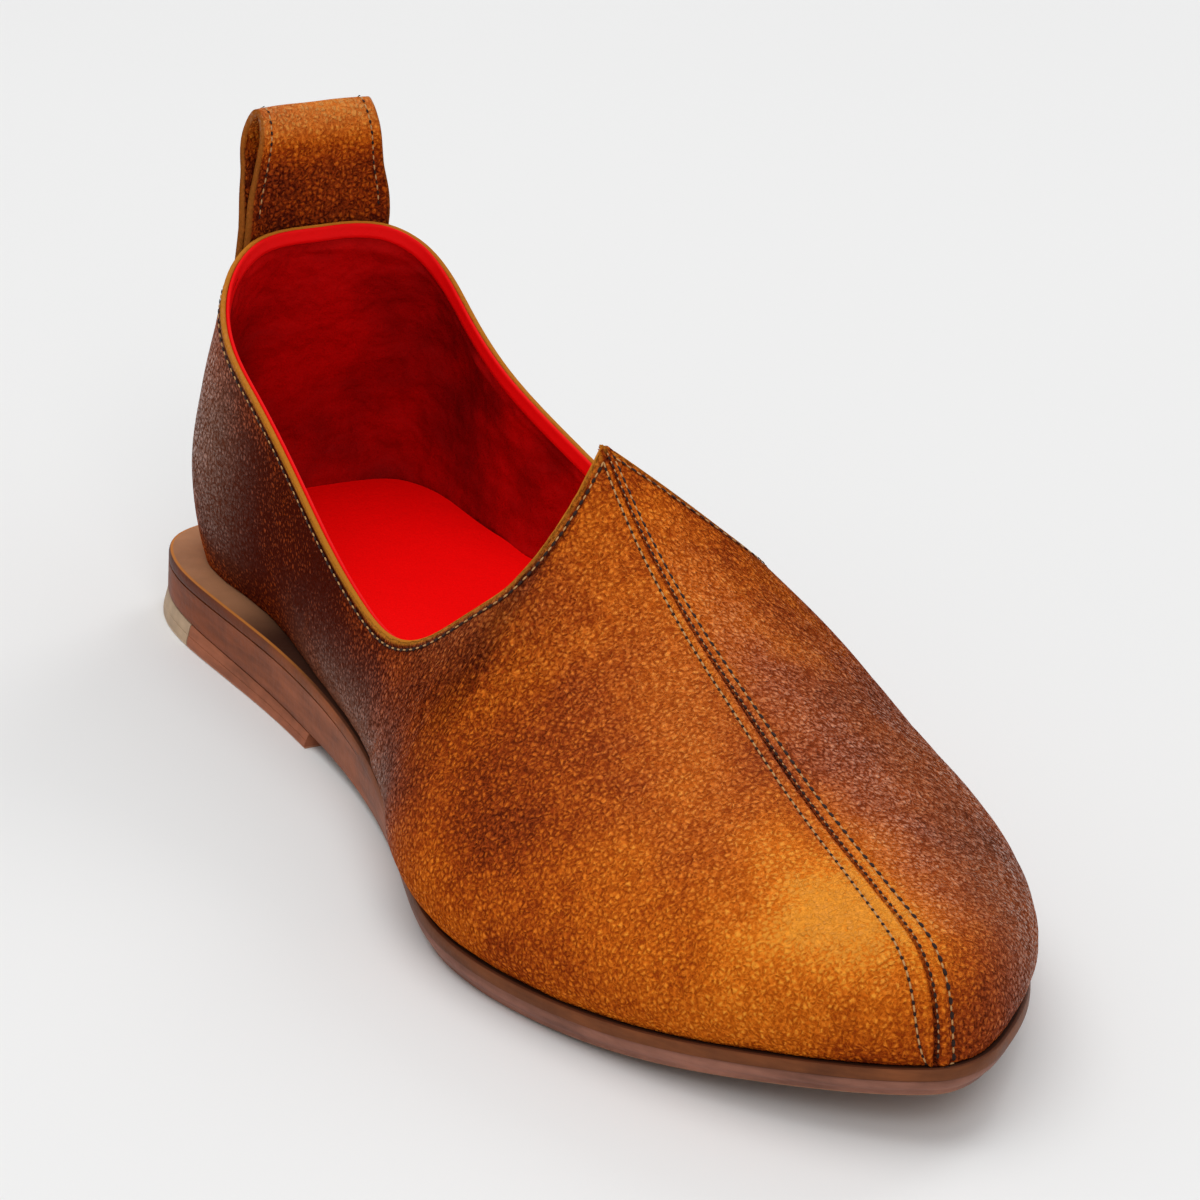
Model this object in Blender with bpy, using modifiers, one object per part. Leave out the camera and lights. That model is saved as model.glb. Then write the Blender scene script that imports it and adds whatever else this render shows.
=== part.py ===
"""A low leather slip-on shoe for the left foot, with a seam down the middle of its vamp, a peaked
throat, a heel loop and a flat stacked leather sole. Metres, +Z up, toe towards -Y, medial side
towards -X. The origin lies on the floor under the middle of the shoe."""

import math

import bmesh
import bpy
import numpy as np

# Sole, seen from above
SOLE_LENGTH = 0.2830
HEEL_WIDTH = 0.0690
BALL_WIDTH = 0.1070
TOE_TIP_OFFSET = -0.0020  # where the toe's tip lies, towards the medial side

# Sole, seen from the side
HEEL_HEIGHT = 0.0150  # floor to the top of the midsole
HEEL_LIFT_BACK = 0.0062
HEEL_LIFT_BREAST = 0.0034
HEEL_BREAST = 0.0870  # from the back of the heel to the front of the lift
HEEL_FLARE = 0.0012
TIP_LENGTH = 0.0310
FOREFOOT_THICKNESS = 0.0078
TOE_THICKNESS = 0.0064
TOE_SPRING = 0.0100
MIDSOLE_THICKNESS = 0.0024
EDGE_ROUND = 0.0012
OUTSOLE_STEP = 0.0007  # how far the outsole's edge stands back from the midsole's in front
OUTSOLE_TAPER = 0.0017  # how much further it leans in towards the floor
INSOLE_HEEL = 0.0090
INSOLE_FRONT = 0.0040
INSOLE_THINS_FROM = 0.25  # shares of the length between which it thins
INSOLE_THINS_TO = 0.60
INSOLE_PLAY = 0.0011
INSOLE_TOE_PLAY = 0.0040

# Ledge of the sole outside the upper
SHELF_BACK = 0.0100
SHELF_SIDE = 0.0066
LEDGE = 0.0014

# Upper
WALL = 0.0023
COLLAR_BACK = 0.0860  # heights above the floor
NOTCH_HEIGHT = 0.0410
PEAK_HEIGHT = 0.0845
TOE_TOP = 0.0372
COLLAR_WIDTH = 0.0620

# Heel strap, which folds over into the pull loop
STRAP_THICKNESS = 0.0015
LOOP_WIDTH = 0.0260
STRAP_WIDTH_COLLAR = 0.0335
STRAP_WIDTH_SOLE = 0.0440
LOOP_HEIGHT = 0.0258  # above the collar
LOOP_DEPTH = 0.0098
LOOP_LEAN = 0.0042
LOOP_TAIL = 0.0100
LOOP_FLAT = 0.35  # share of the collar's curve that the loop keeps

GAP = 0.0003
SEAM_TOE_X = -0.0012  # where the middle seam meets the sole
SEAM_LEAN_FROM = 0.70  # share of the length where the seam starts to lean towards the toe's tip
RIB_LOOK = 0.02  # share of a rib over which its slope is taken
STRAP_START = 0.004  # share of the back's height where the strap starts
STRAP_NARROWS_TO = 0.625  # share of the back's height where the strap reaches its width at the collar
STRAP_LAPS = 3  # how many tail lengths below the collar the outer leaf starts to stand off

MERGE = 1e-5
RING_POINTS = 1600

# Fineness of the solids
SOLE_STEPS = 40
LIFT_STEPS = 16
COLLAR_STEPS = 25
SEAM_STEPS = 21
RIB_STEPS = 11
STRAP_COLUMNS = 8
STRAP_ROWS = 12
LOOP_ROWS = 20

# The sole's edge from above: share of the length from the back of the heel, the width that the
# row follows, and the medial and lateral reach as shares of half that width.
SOLE_ROWS = (
    (0.0040, "heel", 0.36, 0.36),
    (0.0200, "heel", 0.77, 0.77),
    (0.0640, "heel", 0.97, 0.97),
    (0.1300, "heel", 1.00, 1.00),
    (0.2300, "heel", 0.96, 1.02),
    (0.3300, "heel", 0.97, 1.08),
    (0.4300, "ball", 0.69, 0.76),
    (0.5400, "ball", 0.85, 0.90),
    (0.6500, "ball", 0.99, 0.99),
    (0.7600, "ball", 0.89, 0.96),
    (0.8500, "ball", 0.70, 0.82),
    (0.9200, "ball", 0.46, 0.59),
    (0.9700, "ball", 0.23, 0.34),
    (0.9930, "ball", 0.07, 0.18),
)

# The midsole's top face from the side: share of the length, then its height between the forefoot
# (0) and the heel (1).
SEAT_ROWS = ((0.00, 1.00), (0.15, 1.00), (0.30, 0.95), (0.42, 0.68), (0.54, 0.27), (0.64, 0.04), (0.70, 0.0))
# The sole's lift towards the toe: share of the length, then share of the toe spring.
SPRING_ROWS = ((0.70, 0.0), (0.76, 0.05), (0.84, 0.27), (0.92, 0.62), (1.00, 1.00))
FLAT_FROM = 0.60

# Where the ledge outside the upper changes: share of the length, size that it follows, share.
LEDGE_ROWS = (
    (0.00, "back", 1.00),
    (0.04, "back", 0.86),
    (0.09, "side", 1.00),
    (0.18, "side", 1.00),
    (0.29, "side", 0.40),
    (0.40, "front", 0.95),
    (0.70, "front", 1.00),
    (1.00, "front", 1.15),
)

# Ribs of the last from the back of the heel to the toe. Each runs up from the feather line, where the
# upper meets the sole, to the ridge of the instep, and past the collar, which is cut out of it below.
# Columns: share of the length at the feather line; share of the length, medial and lateral width,
# and height at the top; then handles as shares of the rib's height: belly (outward at the feather
# line, medial and lateral), rise (upward there), crown (outward at the top, medial and lateral),
# drop (downward there) and lead (forward there).
RIB_ROWS = (
    # foot, top, width in, out, height,            belly in, out, rise, crown in, out, drop, lead
    (0.0353, 0.0530, 0.00, 0.00, ("back", 1.000), 0.13, 0.13, 0.40, 0.05, 0.05, 0.42, 0.00),
    (0.0460, 0.0560, 0.44, 0.44, ("back", 1.005), 0.13, 0.13, 0.40, 0.05, 0.05, 0.42, 0.00),
    (0.0720, 0.0750, 0.70, 0.715, ("back", 1.030), 0.12, 0.12, 0.38, 0.05, 0.05, 0.40, 0.00),
    (0.1200, 0.1160, 0.875, 0.815, ("back", 1.060), 0.11, 0.11, 0.32, 0.04, 0.04, 0.36, 0.00),
    (0.1900, 0.1840, 0.93, 0.815, ("back", 1.100), 0.10, 0.10, 0.25, 0.03, 0.03, 0.35, 0.00),
    (0.2800, 0.2700, 0.92, 0.93, ("back", 1.140), 0.08, 0.08, 0.19, 0.03, 0.03, 0.35, 0.00),
    (0.3620, 0.3450, 0.78, 0.84, ("back", 1.170), 0.09, 0.10, 0.15, 0.06, 0.07, 0.36, 0.00),
    (0.4280, 0.4000, 0.54, 0.65, ("back", 1.170), 0.11, 0.14, 0.12, 0.08, 0.10, 0.38, 0.01),
    (0.4800, 0.4420, 0.28, 0.36, ("back", 1.130), 0.15, 0.18, 0.14, 0.12, 0.16, 0.36, 0.04),
    (0.5300, 0.4770, 0.10, 0.13, ("back", 1.065), 0.19, 0.25, 0.17, 0.17, 0.27, 0.31, 0.09),
    (0.5860, 0.5110, 0.00, 0.00, ("peak", 1.000), 0.27, 0.34, 0.19, 0.22, 0.38, 0.27, 0.14),
    (0.6280, 0.5600, 0.00, 0.00, ("peak", 0.878), 0.28, 0.34, 0.22, 0.30, 0.49, 0.22, 0.11),
    (0.6820, 0.6420, 0.00, 0.00, ("peak", 0.735), 0.28, 0.33, 0.27, 0.40, 0.62, 0.14, 0.06),
    (0.7450, 0.7240, 0.00, 0.00, ("peak", 0.634), 0.28, 0.35, 0.32, 0.50, 0.74, 0.06, 0.03),
    (0.8050, 0.8050, 0.00, 0.00, ("toe", 1.245), 0.28, 0.37, 0.39, 0.58, 0.80, 0.02, 0.00),
    (0.8640, 0.8830, 0.00, 0.00, ("toe", 1.110), 0.28, 0.34, 0.44, 0.64, 0.76, 0.00, 0.00),
    (0.9120, 0.9330, 0.00, 0.00, ("toe", 1.030), 0.28, 0.31, 0.47, 0.64, 0.72, 0.00, 0.00),
    (0.9480, 0.9620, 0.00, 0.00, ("toe", 0.955), 0.28, 0.28, 0.48, 0.60, 0.60, 0.00, 0.00),
    (0.9720, 0.9820, 0.00, 0.00, ("toe", 0.790), 0.26, 0.26, 0.46, 0.56, 0.56, 0.00, 0.00),
    (0.9860, 0.9905, 0.00, 0.00, ("toe", 0.600), 0.22, 0.22, 0.40, 0.50, 0.50, 0.00, 0.00),
)
# The collar from the middle of the back to the peak of the throat: share of the length below it on
# the feather line, the rib that it crosses (by its foot), its height there, and the lateral side's
# share of that height.
COLLAR_ROWS = (
    (0.0353, 0.0353, ("back", 1.000), 1.000),
    (0.0460, 0.0460, ("back", 0.991), 1.000),
    (0.0720, 0.0720, ("back", 0.948), 0.990),
    (0.1200, 0.1200, ("back", 0.835), 0.970),
    (0.1900, 0.1900, ("back", 0.742), 0.956),
    (0.2800, 0.2800, ("back", 0.623), 0.975),
    (0.3640, 0.3660, ("notch", 1.098), 1.000),
    (0.4250, 0.4330, ("notch", 1.000), 1.000),
    (0.4740, 0.4860, ("notch", 1.060), 1.000),
    (0.5120, 0.5200, ("notch", 1.180), 1.000),
    (0.5440, 0.5500, ("peak", 0.645), 1.000),
    (0.5720, 0.5760, ("peak", 0.715), 1.000),
    (0.5960, 0.5860, ("peak", 0.785), 1.000),
    (0.6180, 0.5870, ("peak", 0.885), 1.000),
    (0.6400, 0.5860, ("peak", 1.000), 1.000),
)
# The pull loop from the side, from the outer leaf over the top to the inner leaf: place that the
# row follows, share of half the loop's depth behind it, and share of the loop's height.
LOOP_SIDE_ROWS = (
    ("outer", 0.00, 0.00),
    ("outer", 0.20, 0.25),
    ("lean", 0.95, 0.60),
    ("lean", 0.90, 0.84),
    ("lean", 0.00, 1.00),
    ("lean", -0.90, 0.84),
    ("lean", -0.95, 0.60),
    ("inner", -0.10, 0.25),
    ("inner", 0.00, 0.00),
)


def spline(knots, values, at):
    """Natural cubic through (knots, values), evaluated at the places in at."""
    x = np.asarray(knots, float)
    y = np.asarray(values, float)
    h = np.diff(x)
    n = len(x)
    matrix = np.eye(n)
    right = np.zeros(n)
    for i in range(1, n - 1):
        matrix[i, i - 1 : i + 2] = h[i - 1], 2 * (h[i - 1] + h[i]), h[i]
        right[i] = 6 * ((y[i + 1] - y[i]) / h[i] - (y[i] - y[i - 1]) / h[i - 1])
    bend = np.linalg.solve(matrix, right)
    at = np.asarray(at, float)
    i = np.clip(np.searchsorted(x, at) - 1, 0, n - 2)
    a = (x[i + 1] - at) / h[i]
    b = 1 - a
    return a * y[i] + b * y[i + 1] + ((a**3 - a) * bend[i] + (b**3 - b) * bend[i + 1]) * h[i] ** 2 / 6


def even_spline(knots, values, at, sign):
    """As spline, through values that go on with the given sign behind the first knot, so that the
    two halves of the shoe meet smoothly."""
    knots, values = np.asarray(knots, float), np.asarray(values, float)
    behind = 2 * knots[0] - knots[2:0:-1]
    before = values[0] * (1 - sign) + sign * values[2:0:-1]
    return spline(np.concatenate([behind, knots]), np.concatenate([before, values]), at)


def ring_spline(points, steps):
    """Closed smooth curve through the points, as steps points evenly spaced along it."""
    p = np.asarray(points, float)
    wrap = 4
    around = np.vstack([p[-wrap:], p, p[: wrap + 1]])
    chord = np.concatenate([[0], np.cumsum(np.sqrt(np.linalg.norm(np.diff(around, axis=0), axis=1)))])
    start, end = chord[wrap], chord[wrap + len(p)]
    fine = np.linspace(start, end, 2400)
    curve = np.column_stack([spline(chord, around[:, k], fine) for k in (0, 1)])
    length = np.concatenate([[0], np.cumsum(np.linalg.norm(np.diff(curve, axis=0), axis=1))])
    even = np.linspace(0, length[-1], steps, endpoint=False)
    return np.column_stack([np.interp(even, length, curve[:, k]) for k in (0, 1)])


def sole_ring(steps):
    """The sole's edge from above, as (x, distance from the back of the heel), from the back of the
    heel round the medial side to the toe and back along the lateral side."""
    half = {"heel": HEEL_WIDTH / 2, "ball": BALL_WIDTH / 2}
    medial = [(-half[size] * inner, along * SOLE_LENGTH) for along, size, inner, _ in SOLE_ROWS]
    lateral = [(half[size] * outer, along * SOLE_LENGTH) for along, size, _, outer in SOLE_ROWS]
    toe = [(-TOE_TIP_OFFSET, SOLE_LENGTH)]
    return ring_spline([(0.0, 0.0)] + medial + toe + lateral[::-1], steps)


def ring_normals(ring):
    """Outward directions of a closed plan curve."""
    along = np.roll(ring, -1, axis=0) - np.roll(ring, 1, axis=0)
    out = np.column_stack([along[:, 1], -along[:, 0]])
    out /= np.linalg.norm(out, axis=1)[:, None]
    middle = ring.mean(axis=0)
    return out if np.sum(out * (ring - middle)) > 0 else -out


def inset(ring, distance):
    return ring - ring_normals(ring) * np.broadcast_to(distance, len(ring))[:, None]


def spring_height(share):
    rows = np.array(SPRING_ROWS)
    lift = spline(rows[:, 0], rows[:, 1], share)
    return np.where(share > rows[0, 0], np.maximum(lift, 0), 0) * TOE_SPRING


def seat_height(along):
    """Height of the midsole's top face at a distance from the back of the heel."""
    share = np.clip(np.asarray(along, float) / SOLE_LENGTH, 0, 1)
    rows = np.array(SEAT_ROWS)
    rise = np.where(share < rows[-1, 0], np.clip(spline(rows[:, 0], rows[:, 1], share), 0, 1), 0)
    flat = FOREFOOT_THICKNESS + rise * (HEEL_HEIGHT - FOREFOOT_THICKNESS)
    thinning = np.clip((share - SPRING_ROWS[0][0]) / (1 - SPRING_ROWS[0][0]), 0, 1)
    return flat + spring_height(share) - thinning * (FOREFOOT_THICKNESS - TOE_THICKNESS)


def tread_height(along):
    """Height of the outsole's bottom face: over the heel lift, sinking through the waist to the
    floor at the ball, and up again at the toe."""
    share = np.clip(np.asarray(along, float) / SOLE_LENGTH, 0, 1)
    breast = HEEL_BREAST / SOLE_LENGTH
    over_lift = HEEL_LIFT_BACK + (HEEL_LIFT_BREAST - HEEL_LIFT_BACK) * share / breast
    sink = np.clip((share - breast) / (FLAT_FROM - breast), 0, 1)
    waist = HEEL_LIFT_BREAST * (1 - sink) ** 2 * (1 + sink)
    return np.where(share < breast, over_lift, waist + spring_height(share))


def lift_top(along):
    return tread_height(along) - GAP


def ledge_width(along):
    size = {"back": SHELF_BACK, "side": SHELF_SIDE, "front": LEDGE}
    rows = [(share, size[name] * part) for share, name, part in LEDGE_ROWS]
    shares = np.clip(np.asarray(along, float) / SOLE_LENGTH, 0, 1)
    return spline([r[0] for r in rows], [r[1] for r in rows], shares)


def feather_ring():
    """The line where the upper's outside meets the sole."""
    fine = sole_ring(RING_POINTS)
    return inset(fine, ledge_width(fine[:, 1]))


def sides(ring, toe_x=None):
    """The medial and the lateral side of a plan curve, each from the back to the toe. They part at
    the point of the toe, or where the toe crosses toe_x."""
    back, toe = int(np.argmin(ring[:, 1])), int(np.argmax(ring[:, 1]))
    if toe_x is not None:
        front = ring[:, 1] > ring[:, 1].mean()
        toe = int(np.argmin(np.abs(ring[:, 0] - toe_x) + np.where(front, 0, 1)))
    order = np.roll(np.arange(len(ring)), -back)
    toe = (toe - back) % len(ring)
    halves = [order[: toe + 1], np.concatenate([order[toe:], order[:1]])[::-1]]
    halves.sort(key=lambda half: ring[half, 0].mean())
    return halves


class FeatherSide:
    """One side of the feather line, from the back of the heel to the toe, read by its length."""

    def __init__(self, side):
        ring = feather_ring()
        pick = sides(ring, SEAM_TOE_X)[0 if side < 0 else 1]
        self.points = ring[pick]
        self.out = ring_normals(ring)[pick]
        step = np.linalg.norm(np.diff(self.points, axis=0), axis=1)
        self.length = np.concatenate([[0], np.cumsum(step)])

    def at_share(self, share):
        """Length along this side up to the place at a share of the sole's length."""
        return np.interp(share * SOLE_LENGTH, np.maximum.accumulate(self.points[:, 1]), self.length)

    def read(self, length):
        """Place and outward direction at a length along this side."""
        x, along = [np.interp(length, self.length, self.points[:, k]) for k in (0, 1)]
        out = [np.interp(length, self.length, self.out[:, k]) for k in (0, 1)]
        size = np.hypot(out[0], out[1])
        return x, along, out[0] / size, out[1] / size


def top_height(entry):
    name, share = entry
    return share * {"back": COLLAR_BACK, "notch": NOTCH_HEIGHT, "peak": PEAK_HEIGHT, "toe": TOE_TOP}[name]


class UpperSide:
    """The outside of one half of the upper: medial for side -1, lateral for side +1. Its ribs are
    counted by t, the mean length of both feather lines up to the rib."""

    def __init__(self, side):
        self.side = side
        self.foot = FeatherSide(side)
        self.other = FeatherSide(-side)
        toe_x, toe_along = self.foot.points[-1]
        toe_z = float(seat_height(toe_along)) + GAP
        self.toe_x = toe_x
        pick = 0 if side < 0 else 1
        half = COLLAR_WIDTH / 2
        self.top = [(r[1] * SOLE_LENGTH, r[2 + pick] * half, top_height(r[4])) for r in RIB_ROWS]
        self.top = np.array(self.top + [(toe_along, 0.0, toe_z)])
        shape = [(r[5 + pick], r[7], r[8 + pick]) + r[10:] for r in RIB_ROWS]
        self.shape = np.array(shape + shape[-1:])
        shares = np.array([r[0] for r in RIB_ROWS])
        self.foot_length = np.append(self.foot.at_share(shares), self.foot.length[-1])
        self.foot_length[0] = 0.0
        self.t = np.append(self.rib_of(shares), (self.foot.length[-1] + self.other.length[-1]) / 2)
        self.peak_t = self.rib_of(COLLAR_ROWS[-1][1])

    def rib_of(self, share):
        """The rib whose foot lies at a share of the length."""
        t = (self.foot.at_share(share) + self.other.at_share(share)) / 2
        return np.where(np.asarray(share) > COLLAR_ROWS[0][0], t, 0.0)

    def ribs(self, t):
        """The four control points of the rib at each t."""
        t = np.asarray(t, float)
        x, along, out_x, out_along = self.foot.read(spline(self.t, self.foot_length, t))
        foot = np.stack([x, along, seat_height(along) + GAP], axis=-1)
        top_along, width, height = [
            even_spline(self.t, self.top[:, k], t, sign) for k, sign in enumerate((1, -1, 1))
        ]
        lean = np.clip((top_along / SOLE_LENGTH - SEAM_LEAN_FROM) / (1 - SEAM_LEAN_FROM), 0, 1)
        width = np.where(t < self.peak_t, np.maximum(width, 0), 0)
        head = np.stack([self.toe_x * lean + self.side * width, top_along, height], axis=-1)
        handles = [spline(self.t, self.shape[:, k], t)[..., None] for k in range(5)]
        belly, rise, crown, drop, lead = handles
        tall = (head[..., 2] - foot[..., 2])[..., None]
        square = np.clip(t / self.peak_t * 2 - 1, 0, 1)
        turned_x = out_x * (1 - square) + self.side * square
        turned_along = out_along * (1 - square)
        size = np.hypot(turned_x, turned_along)
        zero = np.zeros_like(t)
        out = np.stack([out_x, out_along, zero], axis=-1)
        turned = np.stack([turned_x / size, turned_along / size, zero], axis=-1)
        up = np.array([0.0, 0.0, 1.0])
        ahead = np.array([0.0, 1.0, 0.0])
        low = foot + tall * (out * belly + up * rise)
        high = head + tall * (turned * crown - up * drop + ahead * lead)
        return foot, low, high, head

    def surface(self, t, v):
        """Points of the last: v runs from 0 at the feather line to 1 at the top of the rib."""
        p0, p1, p2, p3 = self.ribs(t)
        v = np.asarray(v, float)[..., None]
        return (1 - v) ** 3 * p0 + 3 * v * (1 - v) ** 2 * p1 + 3 * v**2 * (1 - v) * p2 + v**3 * p3

    def collar(self, u):
        """The collar's foot, rib and v, for u from 0 at the back to 1 at the peak of the throat."""
        rows = np.array([row[:2] + (top_height(row[2]) * (row[3] if self.side > 0 else 1.0),) for row in COLLAR_ROWS])
        steps = np.diff(rows[:, 1:] * (SOLE_LENGTH, 1.0), axis=0)
        chord = np.concatenate([[0], np.cumsum(np.sqrt(np.linalg.norm(steps, axis=1)))])
        u = np.asarray(u, float) * chord[-1]
        foot = self.rib_of(np.interp(u, chord, rows[:, 0]))
        rib = self.rib_of(np.maximum(even_spline(chord, rows[:, 1], u, 1), rows[0, 1]))
        height = even_spline(chord, rows[:, 2], u, 1)
        fine = np.linspace(0, 1, 80)
        z = self.surface(rib[:, None] + 0 * fine, fine + 0 * rib[:, None])[..., 2]
        v = np.array([np.interp(h, line, fine) for h, line in zip(height, z)])
        return foot, rib, np.where(u < chord[-1] - MERGE, v, 1.0)

    def grid(self, u, seam, w):
        """Points of the outside: columns at each u of the collar and then at each share of the
        seam, rows at each share w of the way from the feather line to the edge."""
        foot, rib, v = self.collar(u)
        seam = np.asarray(seam, float)
        front = self.peak_t + (self.t[-1] - self.peak_t) * seam
        ahead = (foot[-1] - rib[-1]) * (1 - seam) ** 2
        foot = np.concatenate([foot, front + ahead])[:, None]
        rib = np.concatenate([rib, front])[:, None]
        v = np.concatenate([v, np.ones(len(front))])[:, None]
        return self.surface(foot + (rib - foot) * w, v * w)


def place(points):
    """From (x, distance from the back of the heel, z) to the shoe's own frame."""
    points = np.asarray(points, float)
    return np.stack([points[..., 0], SOLE_LENGTH / 2 - points[..., 1], points[..., 2]], axis=-1)


def add_solid(name, points, faces, collection, closed=True):
    """A named mesh object with merged points and, where it is closed, faces that look outward."""
    mesh = bpy.data.meshes.new(name)
    mesh.from_pydata([tuple(p) for p in points], [], faces)
    work = bmesh.new()
    work.from_mesh(mesh)
    bmesh.ops.remove_doubles(work, verts=work.verts, dist=MERGE)
    bmesh.ops.dissolve_degenerate(work, edges=work.edges, dist=MERGE / 10)
    if closed:
        bmesh.ops.recalc_face_normals(work, faces=work.faces)
    work.to_mesh(mesh)
    work.free()
    body = bpy.data.objects.new(name, mesh)
    collection.objects.link(body)
    return body


def finish(body, colour, roughness, sharp=40):
    mesh = body.data
    mesh.polygons.foreach_set("use_smooth", [True] * len(mesh.polygons))
    mesh.set_sharp_from_angle(angle=math.radians(sharp))
    material = bpy.data.materials.new(body.name)
    material.use_nodes = True
    shader = material.node_tree.nodes["Principled BSDF"]
    shader.inputs["Base Color"].default_value = (*colour, 1)
    shader.inputs["Roughness"].default_value = roughness
    mesh.materials.append(material)


def layer(name, levels, collection, start=None, end=None, steps=SOLE_STEPS):
    """A closed layer of the sole. Each level is its inset from the sole's edge and the function
    that gives its height. The layer may be cut square across at a start and an end."""
    fine = sole_ring(RING_POINTS)
    rows = []
    for distance, height in levels:
        ring = inset(fine, distance(fine[:, 1]) if callable(distance) else distance)
        medial, lateral = [ring[half] for half in sides(ring)]
        first = medial[0, 1] if start is None else start
        last = medial[-1, 1] if end is None else end
        turn = np.linspace(0, math.pi, steps + 1)
        along = first + (last - first) * (1 - np.cos(turn)) / 2
        left = np.interp(along, medial[:, 1], medial[:, 0])
        right = np.interp(along, lateral[:, 1], lateral[:, 0])
        side = np.column_stack([np.concatenate([left, right[::-1]]), np.concatenate([along, along[::-1]])])
        rows.append(np.column_stack([side, height(side[:, 1])]))
    count = 2 * (steps + 1)
    faces = []
    for k in range(len(rows) - 1):
        for i in range(count):
            j = (i + 1) % count
            faces.append((k * count + i, k * count + j, (k + 1) * count + j, (k + 1) * count + i))
    for base in (0, (len(rows) - 1) * count):
        for i in range(steps):
            faces.append((base + i, base + i + 1, base + count - 2 - i, base + count - 1 - i))
    return add_solid(name, place(np.concatenate(rows)), faces, collection)


def rounded_edge(radius, height, steps=3):
    """Levels of a rounded lower edge of the sole, from its bottom face up."""
    levels = []
    for k in range(steps + 1):
        turn = k / steps * math.pi / 2
        rise = radius * (1 - math.cos(turn))
        levels.append((radius * (1 - math.sin(turn)), lambda along, rise=rise: height(along) + rise))
    return levels


def build_midsole(collection):
    levels = [
        (0.0, lambda along: seat_height(along) - MIDSOLE_THICKNESS),
        (0.0, lambda along: seat_height(along) - MIDSOLE_THICKNESS / 4),
        (MIDSOLE_THICKNESS / 4, seat_height),
    ]
    body = layer("midsole", levels, collection)
    finish(body, (0.22, 0.10, 0.045), 0.6)


def forepart(along):
    """0 at the heel, growing through the waist to 1 at the ball and the toe."""
    breast = HEEL_BREAST / SOLE_LENGTH
    return np.clip((np.asarray(along) / SOLE_LENGTH - breast) / (FLAT_FROM - breast), 0, 1)


def build_outsole(collection):
    levels = []
    for distance, height in rounded_edge(EDGE_ROUND, tread_height):
        levels.append((lambda along, d=distance: d + (OUTSOLE_STEP + OUTSOLE_TAPER) * forepart(along), height))
    top = (lambda along: OUTSOLE_STEP * forepart(along), lambda along: seat_height(along) - MIDSOLE_THICKNESS - GAP)
    levels.append(top)
    body = layer("outsole", levels, collection, steps=SOLE_STEPS + 12)
    finish(body, (0.16, 0.075, 0.04), 0.55)


def build_heel(collection):
    """The lift under the heel, in two pieces: the leather in front and the pale tip at the back."""
    flared = [(distance - HEEL_FLARE, height) for distance, height in rounded_edge(EDGE_ROUND / 2, np.zeros_like)]
    levels = flared + [(0.0, lift_top)]
    tip = layer("heel_tip", levels, collection, end=TIP_LENGTH, steps=LIFT_STEPS)
    finish(tip, (0.66, 0.52, 0.34), 0.5)
    lift = layer("heel_lift", levels, collection, TIP_LENGTH + GAP, HEEL_BREAST, LIFT_STEPS)
    finish(lift, (0.14, 0.07, 0.04), 0.5)


def build_insole(collection):
    def reach(along):
        front = np.clip((np.asarray(along) / SOLE_LENGTH - FLAT_FROM) / (1 - FLAT_FROM), 0, 1)
        return ledge_width(along) + WALL + INSOLE_PLAY + (INSOLE_TOE_PLAY - INSOLE_PLAY) * front**2

    def top(along):
        share = np.asarray(along) / SOLE_LENGTH
        thinning = np.clip((share - INSOLE_THINS_FROM) / (INSOLE_THINS_TO - INSOLE_THINS_FROM), 0, 1)
        return seat_height(along) + INSOLE_HEEL + (INSOLE_FRONT - INSOLE_HEEL) * thinning

    body = layer("insole", [(reach, lambda along: seat_height(along) + GAP), (reach, top)], collection)
    finish(body, (0.55, 0.03, 0.03), 0.7)


def shell(name, thickness, collection, points, faces, offset):
    """An open surface made into a closed wall."""
    body = add_solid(name, points, faces, collection, closed=False)
    wall = body.modifiers.new("wall", "SOLIDIFY")
    wall.thickness = thickness
    wall.offset = offset
    wall.use_quality_normals = True
    return body


def grid_faces(columns, rows, base, flip):
    faces = []
    for i in range(columns - 1):
        for j in range(rows - 1):
            a = base + i * rows + j
            face = (a, a + rows, a + rows + 1, a + 1)
            faces.append(face[::-1] if flip else face)
    return faces


def build_upper(collection):
    points, faces = [], []
    u = np.linspace(0, 1, COLLAR_STEPS + 1)
    seam = np.sin(np.linspace(0, math.pi / 2, SEAM_STEPS + 1))[1:]
    w = np.linspace(0, 1, RIB_STEPS + 1)
    for side in (-1, 1):
        grid = UpperSide(side).grid(u, seam, w)
        faces += grid_faces(len(grid), len(w), len(points), flip=side > 0)
        points += list(place(grid).reshape(-1, 3))
    body = shell("upper", WALL, collection, points, faces, offset=-1)
    finish(body, (0.42, 0.16, 0.04), 0.45, sharp=50)


def strap_point(half, across, v, stand_off):
    """A point on the heel strap, across metres from the middle of the back and stand_off outside
    the upper, with its level outward direction."""
    t = np.linspace(0, STRAP_WIDTH_SOLE, 60)
    line = half.surface(t, np.full(60, v))
    length = np.concatenate([[0], np.cumsum(np.linalg.norm(np.diff(line, axis=0), axis=1))])
    here = np.interp(across, length, t)
    step = STRAP_WIDTH_SOLE / 60
    spots = half.surface(np.array([max(here - step, 0), here, here + step]), np.full(3, v))
    along = spots[2] - spots[0]
    out = np.array([along[1], -along[0], 0.0]) * half.side
    out = np.array([0.0, -1.0, 0.0]) if across < MERGE else out / np.linalg.norm(out)
    above, below = half.surface(np.full(2, here), np.array([min(v + RIB_LOOK, 1), max(v - RIB_LOOK, 0)]))
    up = above - below
    return spots[1] + out * stand_off * np.hypot(up @ out, up[2]) / up[2], out


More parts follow.
